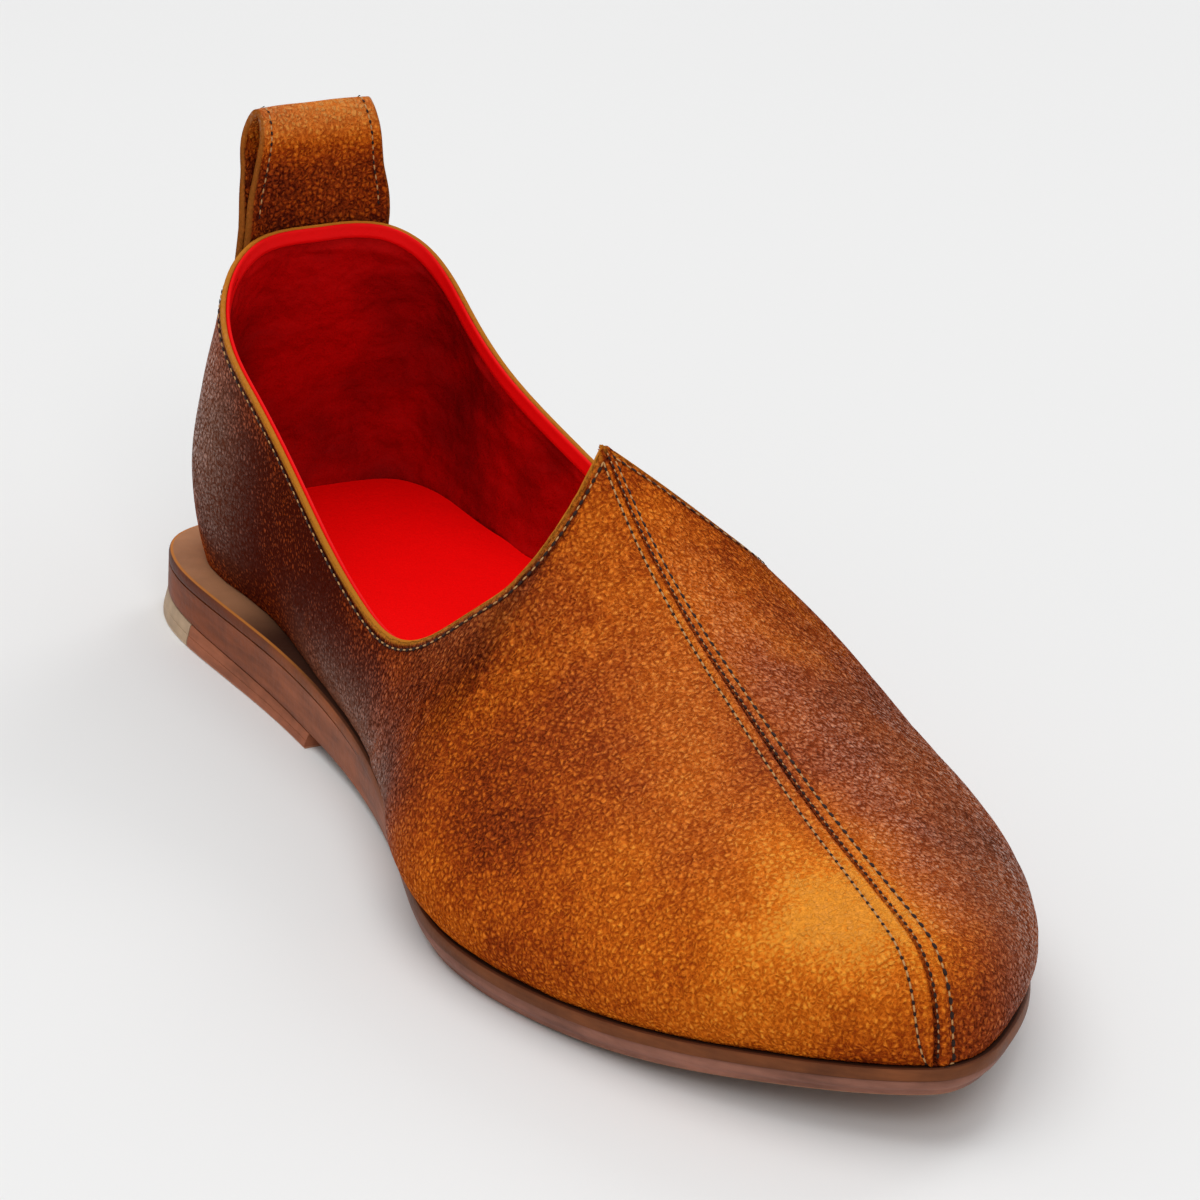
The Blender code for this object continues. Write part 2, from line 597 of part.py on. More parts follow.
def loop_path():
    """The loop from the side: distance behind the collar and height over it."""
    inner = GAP + STRAP_THICKNESS / 2
    outer = inner + STRAP_THICKNESS + GAP
    half = (LOOP_DEPTH - STRAP_THICKNESS) / 2
    tall = LOOP_HEIGHT - STRAP_THICKNESS / 2
    places = {"outer": outer, "lean": LOOP_LEAN, "inner": inner}
    knots = np.array([(places[name] + behind * half, up * tall) for name, behind, up in LOOP_SIDE_ROWS])
    chord = np.concatenate([[0], np.cumsum(np.sqrt(np.linalg.norm(np.diff(knots, axis=0), axis=1)))])
    at = np.linspace(0, chord[-1], LOOP_ROWS + 1)
    return np.column_stack([spline(chord, knots[:, k], at) for k in (0, 1)])


def build_strap(collection):
    """The heel strap: up the back from the sole, over into the pull loop, and down again between
    itself and the collar."""
    inner = GAP + STRAP_THICKNESS / 2
    outer = inner + STRAP_THICKNESS + GAP
    tail = LOOP_TAIL / (COLLAR_BACK - HEEL_HEIGHT)
    points, columns = [], 2 * STRAP_COLUMNS + 1
    for c in np.linspace(-1, 1, columns):
        half = UpperSide(-1 if c < 0 else 1)
        column = []
        for v in np.linspace(STRAP_START, 1, STRAP_ROWS + 1)[:-1]:
            width = STRAP_WIDTH_SOLE + (STRAP_WIDTH_COLLAR - STRAP_WIDTH_SOLE) * min(1.0, v / STRAP_NARROWS_TO)
            rise = np.clip((v - (1 - STRAP_LAPS * tail)) / tail, 0, 1)
            off = inner + (outer - inner) * rise * rise * (3 - 2 * rise)
            column.append(strap_point(half, abs(c) * width / 2, v, off)[0])
        base, out = strap_point(half, abs(c) * STRAP_WIDTH_COLLAR / 2, 1.0, 0.0)
        middle = strap_point(half, 0.0, 1.0, 0.0)[0]
        for back, up in loop_path():
            free = np.clip(up / LOOP_HEIGHT * 2, 0, 1)
            free = free * free * (3 - 2 * free)
            width = STRAP_WIDTH_COLLAR + (LOOP_WIDTH - STRAP_WIDTH_COLLAR) * np.clip(up / LOOP_HEIGHT, 0, 1)
            flat = np.array([c * width / 2, middle[1] + (base[1] - middle[1]) * LOOP_FLAT, middle[2]])
            heading = out * (1 - free) + np.array([0.0, -1.0, 0.0]) * free
            column.append(base * (1 - free) + flat * free + heading * back + np.array([0.0, 0.0, up]))
        for v in np.linspace(1, 1 - tail, 4)[1:]:
            column.append(strap_point(half, abs(c) * STRAP_WIDTH_COLLAR / 2, v, inner)[0])
        points += list(place(column))
    rows = len(points) // columns
    body = shell("heel_strap", STRAP_THICKNESS, collection, points, grid_faces(columns, rows, 0, False), offset=0)
    finish(body, (0.38, 0.14, 0.035), 0.45, sharp=50)


def stand_at_origin(collection):
    """Moves the shoe so that the origin is under the middle of its bounding box."""
    bpy.context.view_layer.update()
    graph = bpy.context.evaluated_depsgraph_get()
    corners = np.array([corner for body in collection.objects for corner in body.evaluated_get(graph).bound_box])
    middle = (corners.min(axis=0) + corners.max(axis=0)) / 2
    for body in collection.objects:
        body.location = (-middle[0], -middle[1], 0)


def main():
    for thing in list(bpy.data.objects):
        bpy.data.objects.remove(thing)
    collection = bpy.data.collections.new("slip_on_shoe")
    bpy.context.scene.collection.children.link(collection)
    build_midsole(collection)
    build_outsole(collection)
    build_heel(collection)
    build_insole(collection)
    build_upper(collection)
    build_strap(collection)
    stand_at_origin(collection)


main()
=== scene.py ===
# %% [markdown]
# # A left slip-on shoe in tan leather
#
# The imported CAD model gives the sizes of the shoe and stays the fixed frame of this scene. Every
# visible piece is made again here in a finer form, from the same sizes and the same short tables,
# so that it lies exactly on the CAD solids: the leather upper with its turned edge, the red lining,
# the seam and its stitches, the heel strap with its pull loop, the sock inside and the sole's layers.
#
# Lengths are metres. The toe points to -Y, the heel to +Y, the medial side is -X and +Z is up.

# %% Load the frame
import math

import bmesh
import bpy
import numpy as np
from mathutils import Matrix, Vector


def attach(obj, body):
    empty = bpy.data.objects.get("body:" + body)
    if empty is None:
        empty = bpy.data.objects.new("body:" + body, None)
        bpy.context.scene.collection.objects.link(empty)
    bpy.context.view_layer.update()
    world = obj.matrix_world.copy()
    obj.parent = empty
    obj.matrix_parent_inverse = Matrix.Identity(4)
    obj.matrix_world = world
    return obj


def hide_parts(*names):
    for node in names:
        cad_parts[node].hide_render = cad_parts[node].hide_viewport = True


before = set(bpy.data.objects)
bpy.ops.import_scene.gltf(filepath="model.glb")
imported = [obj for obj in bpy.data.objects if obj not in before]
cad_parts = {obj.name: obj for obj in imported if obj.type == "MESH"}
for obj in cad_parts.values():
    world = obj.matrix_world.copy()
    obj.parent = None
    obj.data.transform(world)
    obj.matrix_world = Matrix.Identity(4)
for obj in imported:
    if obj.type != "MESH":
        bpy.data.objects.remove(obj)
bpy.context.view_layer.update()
print("nodes", sorted(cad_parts))

# %% [markdown]
# ## The shoe's sizes
#
# A shoemaker starts from the length, the widths and the heights of the last. These are the same
# values as in the part's source. ORIGIN is how far the finished part was moved there so that the
# origin lies under the middle of its box.

# %% Sizes
MM = 0.001
SOLE_LENGTH = 0.2830
HALF_WIDTHS = {"heel": 0.0690 / 2, "ball": 0.1070 / 2}
TOE_TIP_X = 0.0020
ORIGIN = np.array([-0.0012750, -0.0005963, 0.0])

HEEL_HEIGHT = 0.0150
HEEL_LIFT_BACK = 0.0062
HEEL_LIFT_BREAST = 0.0034
HEEL_BREAST = 0.0870
HEEL_FLARE = 0.0012
TIP_LENGTH = 0.0310
FOREFOOT_THICKNESS = 0.0078
TOE_THICKNESS = 0.0064
TOE_SPRING = 0.0100
MIDSOLE_THICKNESS = 0.0024
EDGE_ROUND = 0.0012
OUTSOLE_STEP = 0.0007
OUTSOLE_TAPER = 0.0017
INSOLE_HEEL = 0.0090
INSOLE_FRONT = 0.0040

HALF_COLLAR = 0.0620 / 2
HEIGHTS = {"back": 0.0860, "notch": 0.0410, "peak": 0.0845, "toe": 0.0372}
LEDGES = {"back": 0.0100, "side": 0.0066, "front": 0.0014}
GAP = 0.0003
SEAM_TOE_X = -0.0012
SEAM_LEAN_FROM = 0.70
BREAST = HEEL_BREAST / SOLE_LENGTH
FLAT_FROM = 0.60
MERGE = 1e-5
print("sole", SOLE_LENGTH, "collar back", HEIGHTS["back"])

# %% [markdown]
# ## The tables
#
# Each table has named columns in its comment. The sole's outline is two half widths at a dozen
# places along the length, and the upper is a row of ribs, as on the wooden last that a shoe is
# pulled over. Keeping them as tables means that one smooth curve can run through each column.

# %% Tables
# share of the length, width that the row follows, medial share, lateral share
SOLE_ROWS = (
    (0.004, "heel", 0.36, 0.36),
    (0.020, "heel", 0.77, 0.77),
    (0.064, "heel", 0.97, 0.97),
    (0.130, "heel", 1.00, 1.00),
    (0.230, "heel", 0.96, 1.02),
    (0.330, "heel", 0.97, 1.08),
    (0.430, "ball", 0.69, 0.76),
    (0.540, "ball", 0.85, 0.90),
    (0.650, "ball", 0.99, 0.99),
    (0.760, "ball", 0.89, 0.96),
    (0.850, "ball", 0.70, 0.82),
    (0.920, "ball", 0.46, 0.59),
    (0.970, "ball", 0.23, 0.34),
    (0.993, "ball", 0.07, 0.18),
)
# share of the length, height of the seat between forefoot (0) and heel (1)
SEAT_ROWS = ((0.0, 1.0), (0.15, 1.0), (0.30, 0.95), (0.42, 0.68), (0.54, 0.27), (0.64, 0.04), (0.70, 0.0))
# share of the length, share of the toe spring
SPRING_ROWS = ((0.70, 0.0), (0.76, 0.05), (0.84, 0.27), (0.92, 0.62), (1.00, 1.00))
# share of the length, ledge that the row follows, share of it
LEDGE_ROWS = (
    (0.00, "back", 1.00),
    (0.04, "back", 0.86),
    (0.09, "side", 1.00),
    (0.18, "side", 1.00),
    (0.29, "side", 0.40),
    (0.40, "front", 0.95),
    (0.70, "front", 1.00),
    (1.00, "front", 1.15),
)
RIB_ROWS = (
    # foot, top, width in, out, height,          belly in, out, rise, crown in, out, drop, lead
    (0.0353, 0.0530, 0.00, 0.00, ("back", 1.00), 0.13, 0.13, 0.40, 0.05, 0.05, 0.42, 0.00),
    (0.0460, 0.0560, 0.44, 0.44, ("back", 1.005), 0.13, 0.13, 0.40, 0.05, 0.05, 0.42, 0.00),
    (0.0720, 0.0750, 0.70, 0.715, ("back", 1.03), 0.12, 0.12, 0.38, 0.05, 0.05, 0.40, 0.00),
    (0.1200, 0.1160, 0.875, 0.815, ("back", 1.06), 0.11, 0.11, 0.32, 0.04, 0.04, 0.36, 0.00),
    (0.1900, 0.1840, 0.93, 0.815, ("back", 1.10), 0.10, 0.10, 0.25, 0.03, 0.03, 0.35, 0.00),
    (0.2800, 0.2700, 0.92, 0.93, ("back", 1.14), 0.08, 0.08, 0.19, 0.03, 0.03, 0.35, 0.00),
    (0.3620, 0.3450, 0.78, 0.84, ("back", 1.17), 0.09, 0.10, 0.15, 0.06, 0.07, 0.36, 0.00),
    (0.4280, 0.4000, 0.54, 0.65, ("back", 1.17), 0.11, 0.14, 0.12, 0.08, 0.10, 0.38, 0.01),
    (0.4800, 0.4420, 0.28, 0.36, ("back", 1.13), 0.15, 0.18, 0.14, 0.12, 0.16, 0.36, 0.04),
    (0.5300, 0.4770, 0.10, 0.13, ("back", 1.065), 0.19, 0.25, 0.17, 0.17, 0.27, 0.31, 0.09),
    (0.5860, 0.5110, 0.00, 0.00, ("peak", 1.00), 0.27, 0.34, 0.19, 0.22, 0.38, 0.27, 0.14),
    (0.6280, 0.5600, 0.00, 0.00, ("peak", 0.878), 0.28, 0.34, 0.22, 0.30, 0.49, 0.22, 0.11),
    (0.6820, 0.6420, 0.00, 0.00, ("peak", 0.735), 0.28, 0.33, 0.27, 0.40, 0.62, 0.14, 0.06),
    (0.7450, 0.7240, 0.00, 0.00, ("peak", 0.634), 0.28, 0.35, 0.32, 0.50, 0.74, 0.06, 0.03),
    (0.8050, 0.8050, 0.00, 0.00, ("toe", 1.245), 0.28, 0.37, 0.39, 0.58, 0.80, 0.02, 0.00),
    (0.8640, 0.8830, 0.00, 0.00, ("toe", 1.11), 0.28, 0.34, 0.44, 0.64, 0.76, 0.00, 0.00),
    (0.9120, 0.9330, 0.00, 0.00, ("toe", 1.03), 0.28, 0.31, 0.47, 0.64, 0.72, 0.00, 0.00),
    (0.9480, 0.9620, 0.00, 0.00, ("toe", 0.955), 0.28, 0.28, 0.48, 0.60, 0.60, 0.00, 0.00),
    (0.9720, 0.9820, 0.00, 0.00, ("toe", 0.79), 0.26, 0.26, 0.46, 0.56, 0.56, 0.00, 0.00),
    (0.9860, 0.9905, 0.00, 0.00, ("toe", 0.60), 0.22, 0.22, 0.40, 0.50, 0.50, 0.00, 0.00),
)
# share of the length below the collar, rib that the collar crosses, its height there and the
# lateral side's share of that height
COLLAR_ROWS = (
    (0.0353, 0.0353, ("back", 1.000), 1.000),
    (0.0460, 0.0460, ("back", 0.991), 1.000),
    (0.0720, 0.0720, ("back", 0.948), 0.990),
    (0.1200, 0.1200, ("back", 0.835), 0.970),
    (0.1900, 0.1900, ("back", 0.742), 0.956),
    (0.2800, 0.2800, ("back", 0.623), 0.975),
    (0.3640, 0.3660, ("notch", 1.098), 1.000),
    (0.4250, 0.4330, ("notch", 1.000), 1.000),
    (0.4740, 0.4860, ("notch", 1.060), 1.000),
    (0.5120, 0.5200, ("notch", 1.180), 1.000),
    (0.5440, 0.5500, ("peak", 0.645), 1.000),
    (0.5720, 0.5760, ("peak", 0.715), 1.000),
    (0.5960, 0.5860, ("peak", 0.785), 1.000),
    (0.6180, 0.5870, ("peak", 0.885), 1.000),
    (0.6400, 0.5860, ("peak", 1.000), 1.000),
)
print("ribs", len(RIB_ROWS), "collar rows", len(COLLAR_ROWS))

# %% [markdown]
# ## Smooth curves through the tables
#
# A natural cubic is the curve that a thin wooden batten takes when it is bent through nails, and
# boat and last makers draw with one. It is short to write with numpy, and passes exactly through
# every row, which a Bezier curve fitted by eye wouldn't.


# %% Curves through tables
def spline(knots, values, at):
    """A natural cubic through the values, which are one column or several."""
    x, y = np.asarray(knots, float), np.asarray(values, float)
    h = np.diff(x)
    matrix, right = np.eye(len(x)), np.zeros(y.shape)
    for i in range(1, len(x) - 1):
        matrix[i, i - 1 : i + 2] = h[i - 1], 2 * (h[i - 1] + h[i]), h[i]
        right[i] = 6 * ((y[i + 1] - y[i]) / h[i] - (y[i] - y[i - 1]) / h[i - 1])
    bend = np.linalg.solve(matrix, right)
    at = np.asarray(at, float)
    i = np.clip(np.searchsorted(x, at) - 1, 0, len(x) - 2)
    each_column = (...,) + (None,) * (y.ndim - 1)
    step = h[i][each_column]
    a = ((x[i + 1] - at) / h[i])[each_column]
    b = 1 - a
    return a * y[i] + b * y[i + 1] + ((a**3 - a) * bend[i] + (b**3 - b) * bend[i + 1]) * step**2 / 6


def even_spline(knots, values, at, sign):
    """As spline, mirrored behind the first knot, so that the two halves of the shoe meet smoothly."""
    behind = 2 * knots[0] - knots[2:0:-1]
    before = values[0] * (1 - sign) + sign * values[2:0:-1]
    return spline(np.concatenate([behind, knots]), np.concatenate([before, values]), at)


def unit(vectors):
    return vectors / np.maximum(np.linalg.norm(vectors, axis=-1, keepdims=True), 1e-12)


def lengths_along(points, power=1.0):
    """Distance along a row of points. A power of 0.5 spaces the knots of a smooth curve well."""
    return np.concatenate([[0], np.cumsum(np.linalg.norm(np.diff(points, axis=0), axis=1) ** power)])


def read_at(places, knots, values):
    """Each column of the values, read at places between its knots."""
    return np.stack([np.interp(places, knots, column) for column in values.T], axis=-1)


def at_lengths(points, places):
    """Points of a row at the given distances along it."""
    return read_at(places, lengths_along(points), points)


def ease(value):
    """0 below 0, 1 above 1 and smooth between."""
    value = np.clip(value, 0, 1)
    return value * value * (3 - 2 * value)


def bell(distance, width):
    """1 at no distance, and falling smoothly to nothing over about twice the width."""
    return np.exp(-((distance / width) ** 2))


print("spline test", spline((0, 1, 2), (0, 1, 0), [0.5]))

# %% [markdown]
# ## The sole's outline
#
# Seen from above, the sole is one closed curve. The upper meets it further in, on the feather
# line, and the strip between the two is the ledge: wide round the heel, where this shoe shows an
# open shelf of natural leather, and narrow round the forefoot.


# %% The outline and the feather line
def sole_ring(steps=1600, wrap=4):
    medial = [(-HALF_WIDTHS[size] * inner, along * SOLE_LENGTH) for along, size, inner, _ in SOLE_ROWS]
    lateral = [(HALF_WIDTHS[size] * outer, along * SOLE_LENGTH) for along, size, _, outer in SOLE_ROWS]
    knots = np.array([(0.0, 0.0), *medial, (TOE_TIP_X, SOLE_LENGTH), *lateral[::-1]])
    around = np.vstack([knots[-wrap:], knots, knots[: wrap + 1]])
    chord = lengths_along(around, 0.5)
    curve = spline(chord, around, np.linspace(chord[wrap], chord[wrap + len(knots)], 2400))
    return at_lengths(curve, np.linspace(0, lengths_along(curve)[-1], steps, endpoint=False))


def ring_normals(ring):
    along = np.roll(ring, -1, axis=0) - np.roll(ring, 1, axis=0)
    out = unit(np.column_stack([along[:, 1], -along[:, 0]]))
    return out if np.sum(out * (ring - ring.mean(axis=0))) > 0 else -out


def inset(ring, distance):
    return ring - ring_normals(ring) * np.broadcast_to(distance, len(ring))[:, None]


def share_of(along):
    return np.clip(np.asarray(along, float) / SOLE_LENGTH, 0, 1)


def forepart(along):
    """0 over the heel lift and 1 in front of the waist."""
    return np.clip((share_of(along) - BREAST) / (FLAT_FROM - BREAST), 0, 1)


def spring_height(share):
    lift = spline(*np.transpose(SPRING_ROWS), share)
    return np.where(share > SPRING_ROWS[0][0], np.maximum(lift, 0), 0) * TOE_SPRING


def seat_height(along):
    """Height of the midsole's top face, which the upper stands on."""
    share = share_of(along)
    rise = np.clip(spline(*np.transpose(SEAT_ROWS), share), 0, 1)
    rise = np.where(share < SEAT_ROWS[-1][0], rise, 0)
    flat = FOREFOOT_THICKNESS + rise * (HEEL_HEIGHT - FOREFOOT_THICKNESS)
    thinning = np.clip((share - SPRING_ROWS[0][0]) / (1 - SPRING_ROWS[0][0]), 0, 1)
    return flat + spring_height(share) - thinning * (FOREFOOT_THICKNESS - TOE_THICKNESS)


def tread_height(along):
    """Height of the outsole's bottom face: over the heel lift, down to the floor and up at the toe."""
    share, sink = share_of(along), forepart(along)
    over_lift = HEEL_LIFT_BACK + (HEEL_LIFT_BREAST - HEEL_LIFT_BACK) * share / BREAST
    waist = HEEL_LIFT_BREAST * (1 - sink) ** 2 * (1 + sink)
    return np.where(share < BREAST, over_lift, waist + spring_height(share))


def ledge_width(along):
    shares, names, parts = zip(*LEDGE_ROWS)
    return spline(shares, [LEDGES[name] * part for name, part in zip(names, parts)], share_of(along))


def sides(ring, toe_x=None):
    """The medial and the lateral side of a plan curve, each from the back to the toe."""
    back, toe = int(np.argmin(ring[:, 1])), int(np.argmax(ring[:, 1]))
    if toe_x is not None:
        front = ring[:, 1] > ring[:, 1].mean()
        toe = int(np.argmin(np.abs(ring[:, 0] - toe_x) + np.where(front, 0, 1)))
    order = np.roll(np.arange(len(ring)), -back)
    toe = (toe - back) % len(ring)
    halves = [order[: toe + 1], np.concatenate([order[toe:], order[:1]])[::-1]]
    return sorted(halves, key=lambda half: ring[half, 0].mean())


def place(points):
    """From (x, distance from the back of the heel, z) to the frame's own axes."""
    points = np.asarray(points, float)
    turned = np.stack([points[..., 0], SOLE_LENGTH / 2 - points[..., 1], points[..., 2]], axis=-1)
    return turned + ORIGIN


OUTLINE = sole_ring()
FEATHER = inset(OUTLINE, ledge_width(OUTLINE[:, 1]))
print("outline", np.ptp(OUTLINE, axis=0).round(4), "feather line", np.ptp(FEATHER, axis=0).round(4))

# %% [markdown]
# ## The last
#
# The upper's outside is a row of ribs that swell out from the feather line and lean in over the
# instep. Each rib is one cubic Bezier curve, so four points say all about it, and a smooth curve
# through the table gives those four points at every place in between. The collar is a cut through
# that surface, as a shoemaker cuts the leather: it isn't bent into the ribs.

# %% Half of the last
SIDEWAYS, AHEAD, UPWARD = np.eye(3)


class FeatherSide:
    """One side of the feather line, from the back of the heel to the toe, read by its length."""

    def __init__(self, side):
        pick = sides(FEATHER, SEAM_TOE_X)[0 if side < 0 else 1]
        self.points = FEATHER[pick]
        self.places_and_ways = np.column_stack([self.points, ring_normals(FEATHER)[pick]])
        self.length = lengths_along(self.points)

    def at_share(self, share):
        return np.interp(share * SOLE_LENGTH, np.maximum.accumulate(self.points[:, 1]), self.length)

    def read(self, length):
        x, along, *way = np.moveaxis(read_at(length, self.length, self.places_and_ways), -1, 0)
        size = np.hypot(*way)
        return x, along, way[0] / size, way[1] / size


class LastHalf:
    """The medial (-1) or lateral (+1) half of the last. Its ribs are counted by t, the mean length
    of both feather lines up to the rib."""

    def __init__(self, side):
        self.side = side
        self.foot, self.other = FeatherSide(side), FeatherSide(-side)
        self.toe_x, toe_along = self.foot.points[-1]
        pick = 0 if side < 0 else 1
        top = [(r[1] * SOLE_LENGTH, r[2 + pick] * HALF_COLLAR, HEIGHTS[r[4][0]] * r[4][1]) for r in RIB_ROWS]
        self.top = np.array(top + [(toe_along, 0.0, float(seat_height(toe_along)) + GAP)])
        shape = [(r[5 + pick], r[7], r[8 + pick]) + r[10:] for r in RIB_ROWS]
        self.shape = np.array(shape + shape[-1:])
        shares = np.array([r[0] for r in RIB_ROWS])
        self.foot_length = np.append(self.foot.at_share(shares), self.foot.length[-1])
        self.foot_length[0] = 0.0
        self.t = np.append(self.rib_of(shares), (self.foot.length[-1] + self.other.length[-1]) / 2)
        self.peak_t = self.rib_of(COLLAR_ROWS[-1][1])

    def rib_of(self, share):
        t = (self.foot.at_share(share) + self.other.at_share(share)) / 2
        return np.where(np.asarray(share) > COLLAR_ROWS[0][0], t, 0.0)

    def surface(self, t, v):
        """Points of the last: v runs from 0 at the feather line to 1 at the top of the rib."""
        t, v = np.asarray(t, float), np.asarray(v, float)[..., None]
        x, along, out_x, out_along = self.foot.read(spline(self.t, self.foot_length, t))
        foot = np.stack([x, along, seat_height(along) + GAP], axis=-1)
        top = even_spline(self.t, self.top, t, np.array((1, -1, 1)))
        top_along, width, height = np.moveaxis(top, -1, 0)
        lean = np.clip((top_along / SOLE_LENGTH - SEAM_LEAN_FROM) / (1 - SEAM_LEAN_FROM), 0, 1)
        width = np.where(t < self.peak_t, np.maximum(width, 0), 0)
        head = np.stack([self.toe_x * lean + self.side * width, top_along, height], axis=-1)
        belly, rise, crown, drop, lead = np.moveaxis(spline(self.t, self.shape, t), -1, 0)[..., None]
        tall = (head[..., 2] - foot[..., 2])[..., None]
        square = np.clip(t / self.peak_t * 2 - 1, 0, 1)[..., None]
        out = np.stack([out_x, out_along, np.zeros_like(t)], axis=-1)
        turned = unit(out * (1 - square) + SIDEWAYS * self.side * square)
        low = foot + tall * (out * belly + UPWARD * rise)
        high = head + tall * (turned * crown - UPWARD * drop + AHEAD * lead)
        return (1 - v) ** 3 * foot + 3 * v * (1 - v) ** 2 * low + 3 * v**2 * (1 - v) * high + v**3 * head

    def collar(self, u, lower=0.0):
        """The collar's foot, rib and v, for u from 0 at the back to 1 at the peak of the throat."""
        rows = []
        for foot, rib, (name, part), lateral in COLLAR_ROWS:
            rows.append((foot, rib, HEIGHTS[name] * part * (lateral if self.side > 0 else 1.0)))
        rows = np.array(rows)
        chord = lengths_along(rows[:, 1:] * (SOLE_LENGTH, 1.0), 0.5)
        u = np.asarray(u, float) * chord[-1]
        foot = self.rib_of(np.interp(u, chord, rows[:, 0]))
        rib, height = even_spline(chord, rows[:, 1:], u, 1).T
        rib = self.rib_of(np.maximum(rib, rows[0, 1]))
        fine = np.linspace(0, 1, 80)
        z = self.surface(rib[:, None] + 0 * fine, fine + 0 * rib[:, None])[..., 2]
        v = np.array([np.interp(h, line, fine) for h, line in zip(height - lower, z)])
        return foot, rib, np.where(u < chord[-1] - MERGE, v, 1.0)

    def outward(self, t, v, step=2e-4, lift=2e-3):
        """Outward directions of the last, in the frame's axes."""
        low_t, low_v = np.clip(t - step, 0, self.t[-1] - 2 * step), np.clip(v - lift, 0, 1 - 2 * lift)
        along = place(self.surface(low_t + 2 * step, v)) - place(self.surface(low_t, v))
        up = place(self.surface(t, low_v + 2 * lift)) - place(self.surface(t, low_v))
        return unit(np.cross(up, along) * self.side)


HALVES = {side: LastHalf(side) for side in (-1, 1)}
print("rib at the peak", round(float(HALVES[1].peak_t), 4), "toe", round(float(HALVES[1].t[-1]), 4))

# %% [markdown]
# ## Camera
#
# The photograph looks down on the shoe from its medial front, about 24 degrees above the floor and
# 1.2 m away. The eye keeps that place, so the perspective is the photograph's own. It only turns
# to bring the one shoe into the middle and uses a longer lens, and it keeps the slight roll.

# %% Camera
EYE = Vector((-0.48396, -0.86444, 0.47928))
AIM = Vector((0.449677, 0.799783, -0.397666))
UP = Vector((0.148049, 0.378700, 0.913602))
LENS = 164.4

across = AIM.cross(UP).normalized()
eye = bpy.data.objects.new("eye", bpy.data.cameras.new("eye"))
eye.data.lens = LENS
eye.data.sensor_width = 36
eye.data.clip_start = 0.05
eye.matrix_world = Matrix.Translation(EYE) @ Matrix((across, across.cross(AIM), -AIM)).transposed().to_4x4()
bpy.context.scene.collection.objects.link(eye)
bpy.context.scene.camera = eye
bpy.context.scene.view_settings.view_transform = "Standard"
print("camera at", [round(v, 3) for v in EYE])

# %% [markdown]
# ## Light
#
# The shoe stands in soft light from above and behind, so its shadow falls towards the viewer and
# to the right. A wide area lamp gives a soft edge to that shadow, and an even pale world stands
# for the white walls whose reflection greys the leather where it turns away.

# %% Lamps and world
LAMPS = (
    # name, place, aim, size, watts, colour
    ("key", (-0.35, 0.25, 2.10), (0.0, -0.03, 0.0), 2.10, 20.0, (1.0, 0.99, 0.97)),
    ("window", (1.60, 0.90, 1.30), (0.0, 0.0, 0.04), 1.00, 7.0, (1.0, 1.0, 1.0)),
    ("fill", (-0.6, -1.6, 1.6), (0.0, 0.0, 0.04), 1.20, 10.0, (1.0, 1.0, 1.0)),
)
for name, at, aim, size, power, tint in LAMPS:
    light = bpy.data.lights.new(name, "AREA")
    light.shape, light.size = "DISK", size
    light.energy, light.color = power, tint
    lamp = bpy.data.objects.new(name, light)
    bpy.context.scene.collection.objects.link(lamp)
    lamp.location = at
    lamp.rotation_euler = (Vector(aim) - Vector(at)).to_track_quat("-Z", "Y").to_euler()

world = bpy.data.worlds.new("pale_room")
world.use_nodes = True
world.node_tree.nodes["Background"].inputs["Color"].default_value = (0.93, 0.94, 0.95, 1)
world.node_tree.nodes["Background"].inputs["Strength"].default_value = 0.55
bpy.context.scene.world = world

# %% [markdown]
# ## Shader maths and the floor
#
# A material is easiest to read when its maths looks like maths. Reading wraps a socket that gives
# a number, and adding or multiplying it adds the Math node. Finish holds one material: it adds any
# other node, and feeds results to the surface. The plain pale floor is the first to use it.


# %% Shader maths
class Reading:
    """A number that changes over a surface."""

    def __init__(self, finish, socket):
        self.finish, self.socket = finish, socket

    def maths(self, operation, other):
        node = self.finish.node("ShaderNodeMath", {0: self, 1: other}, operation=operation)
        return Reading(self.finish, node.outputs[0])

    def __add__(self, other):
        return self.maths("ADD", other)

    def __sub__(self, other):
        return self.maths("SUBTRACT", other)

    def __rsub__(self, other):
        return (self * -1.0) + other

    def __mul__(self, other):
        return self.maths("MULTIPLY", other)

    __radd__ = __add__
    __rmul__ = __mul__

    def between(self, low, high):
        """0 at low and 1 at high, smooth and clamped in between."""
        sockets = {"Value": self, "From Min": low, "From Max": high}
        node = self.finish.node("ShaderNodeMapRange", sockets, interpolation_type="SMOOTHSTEP")
        return Reading(self.finish, node.outputs[0])


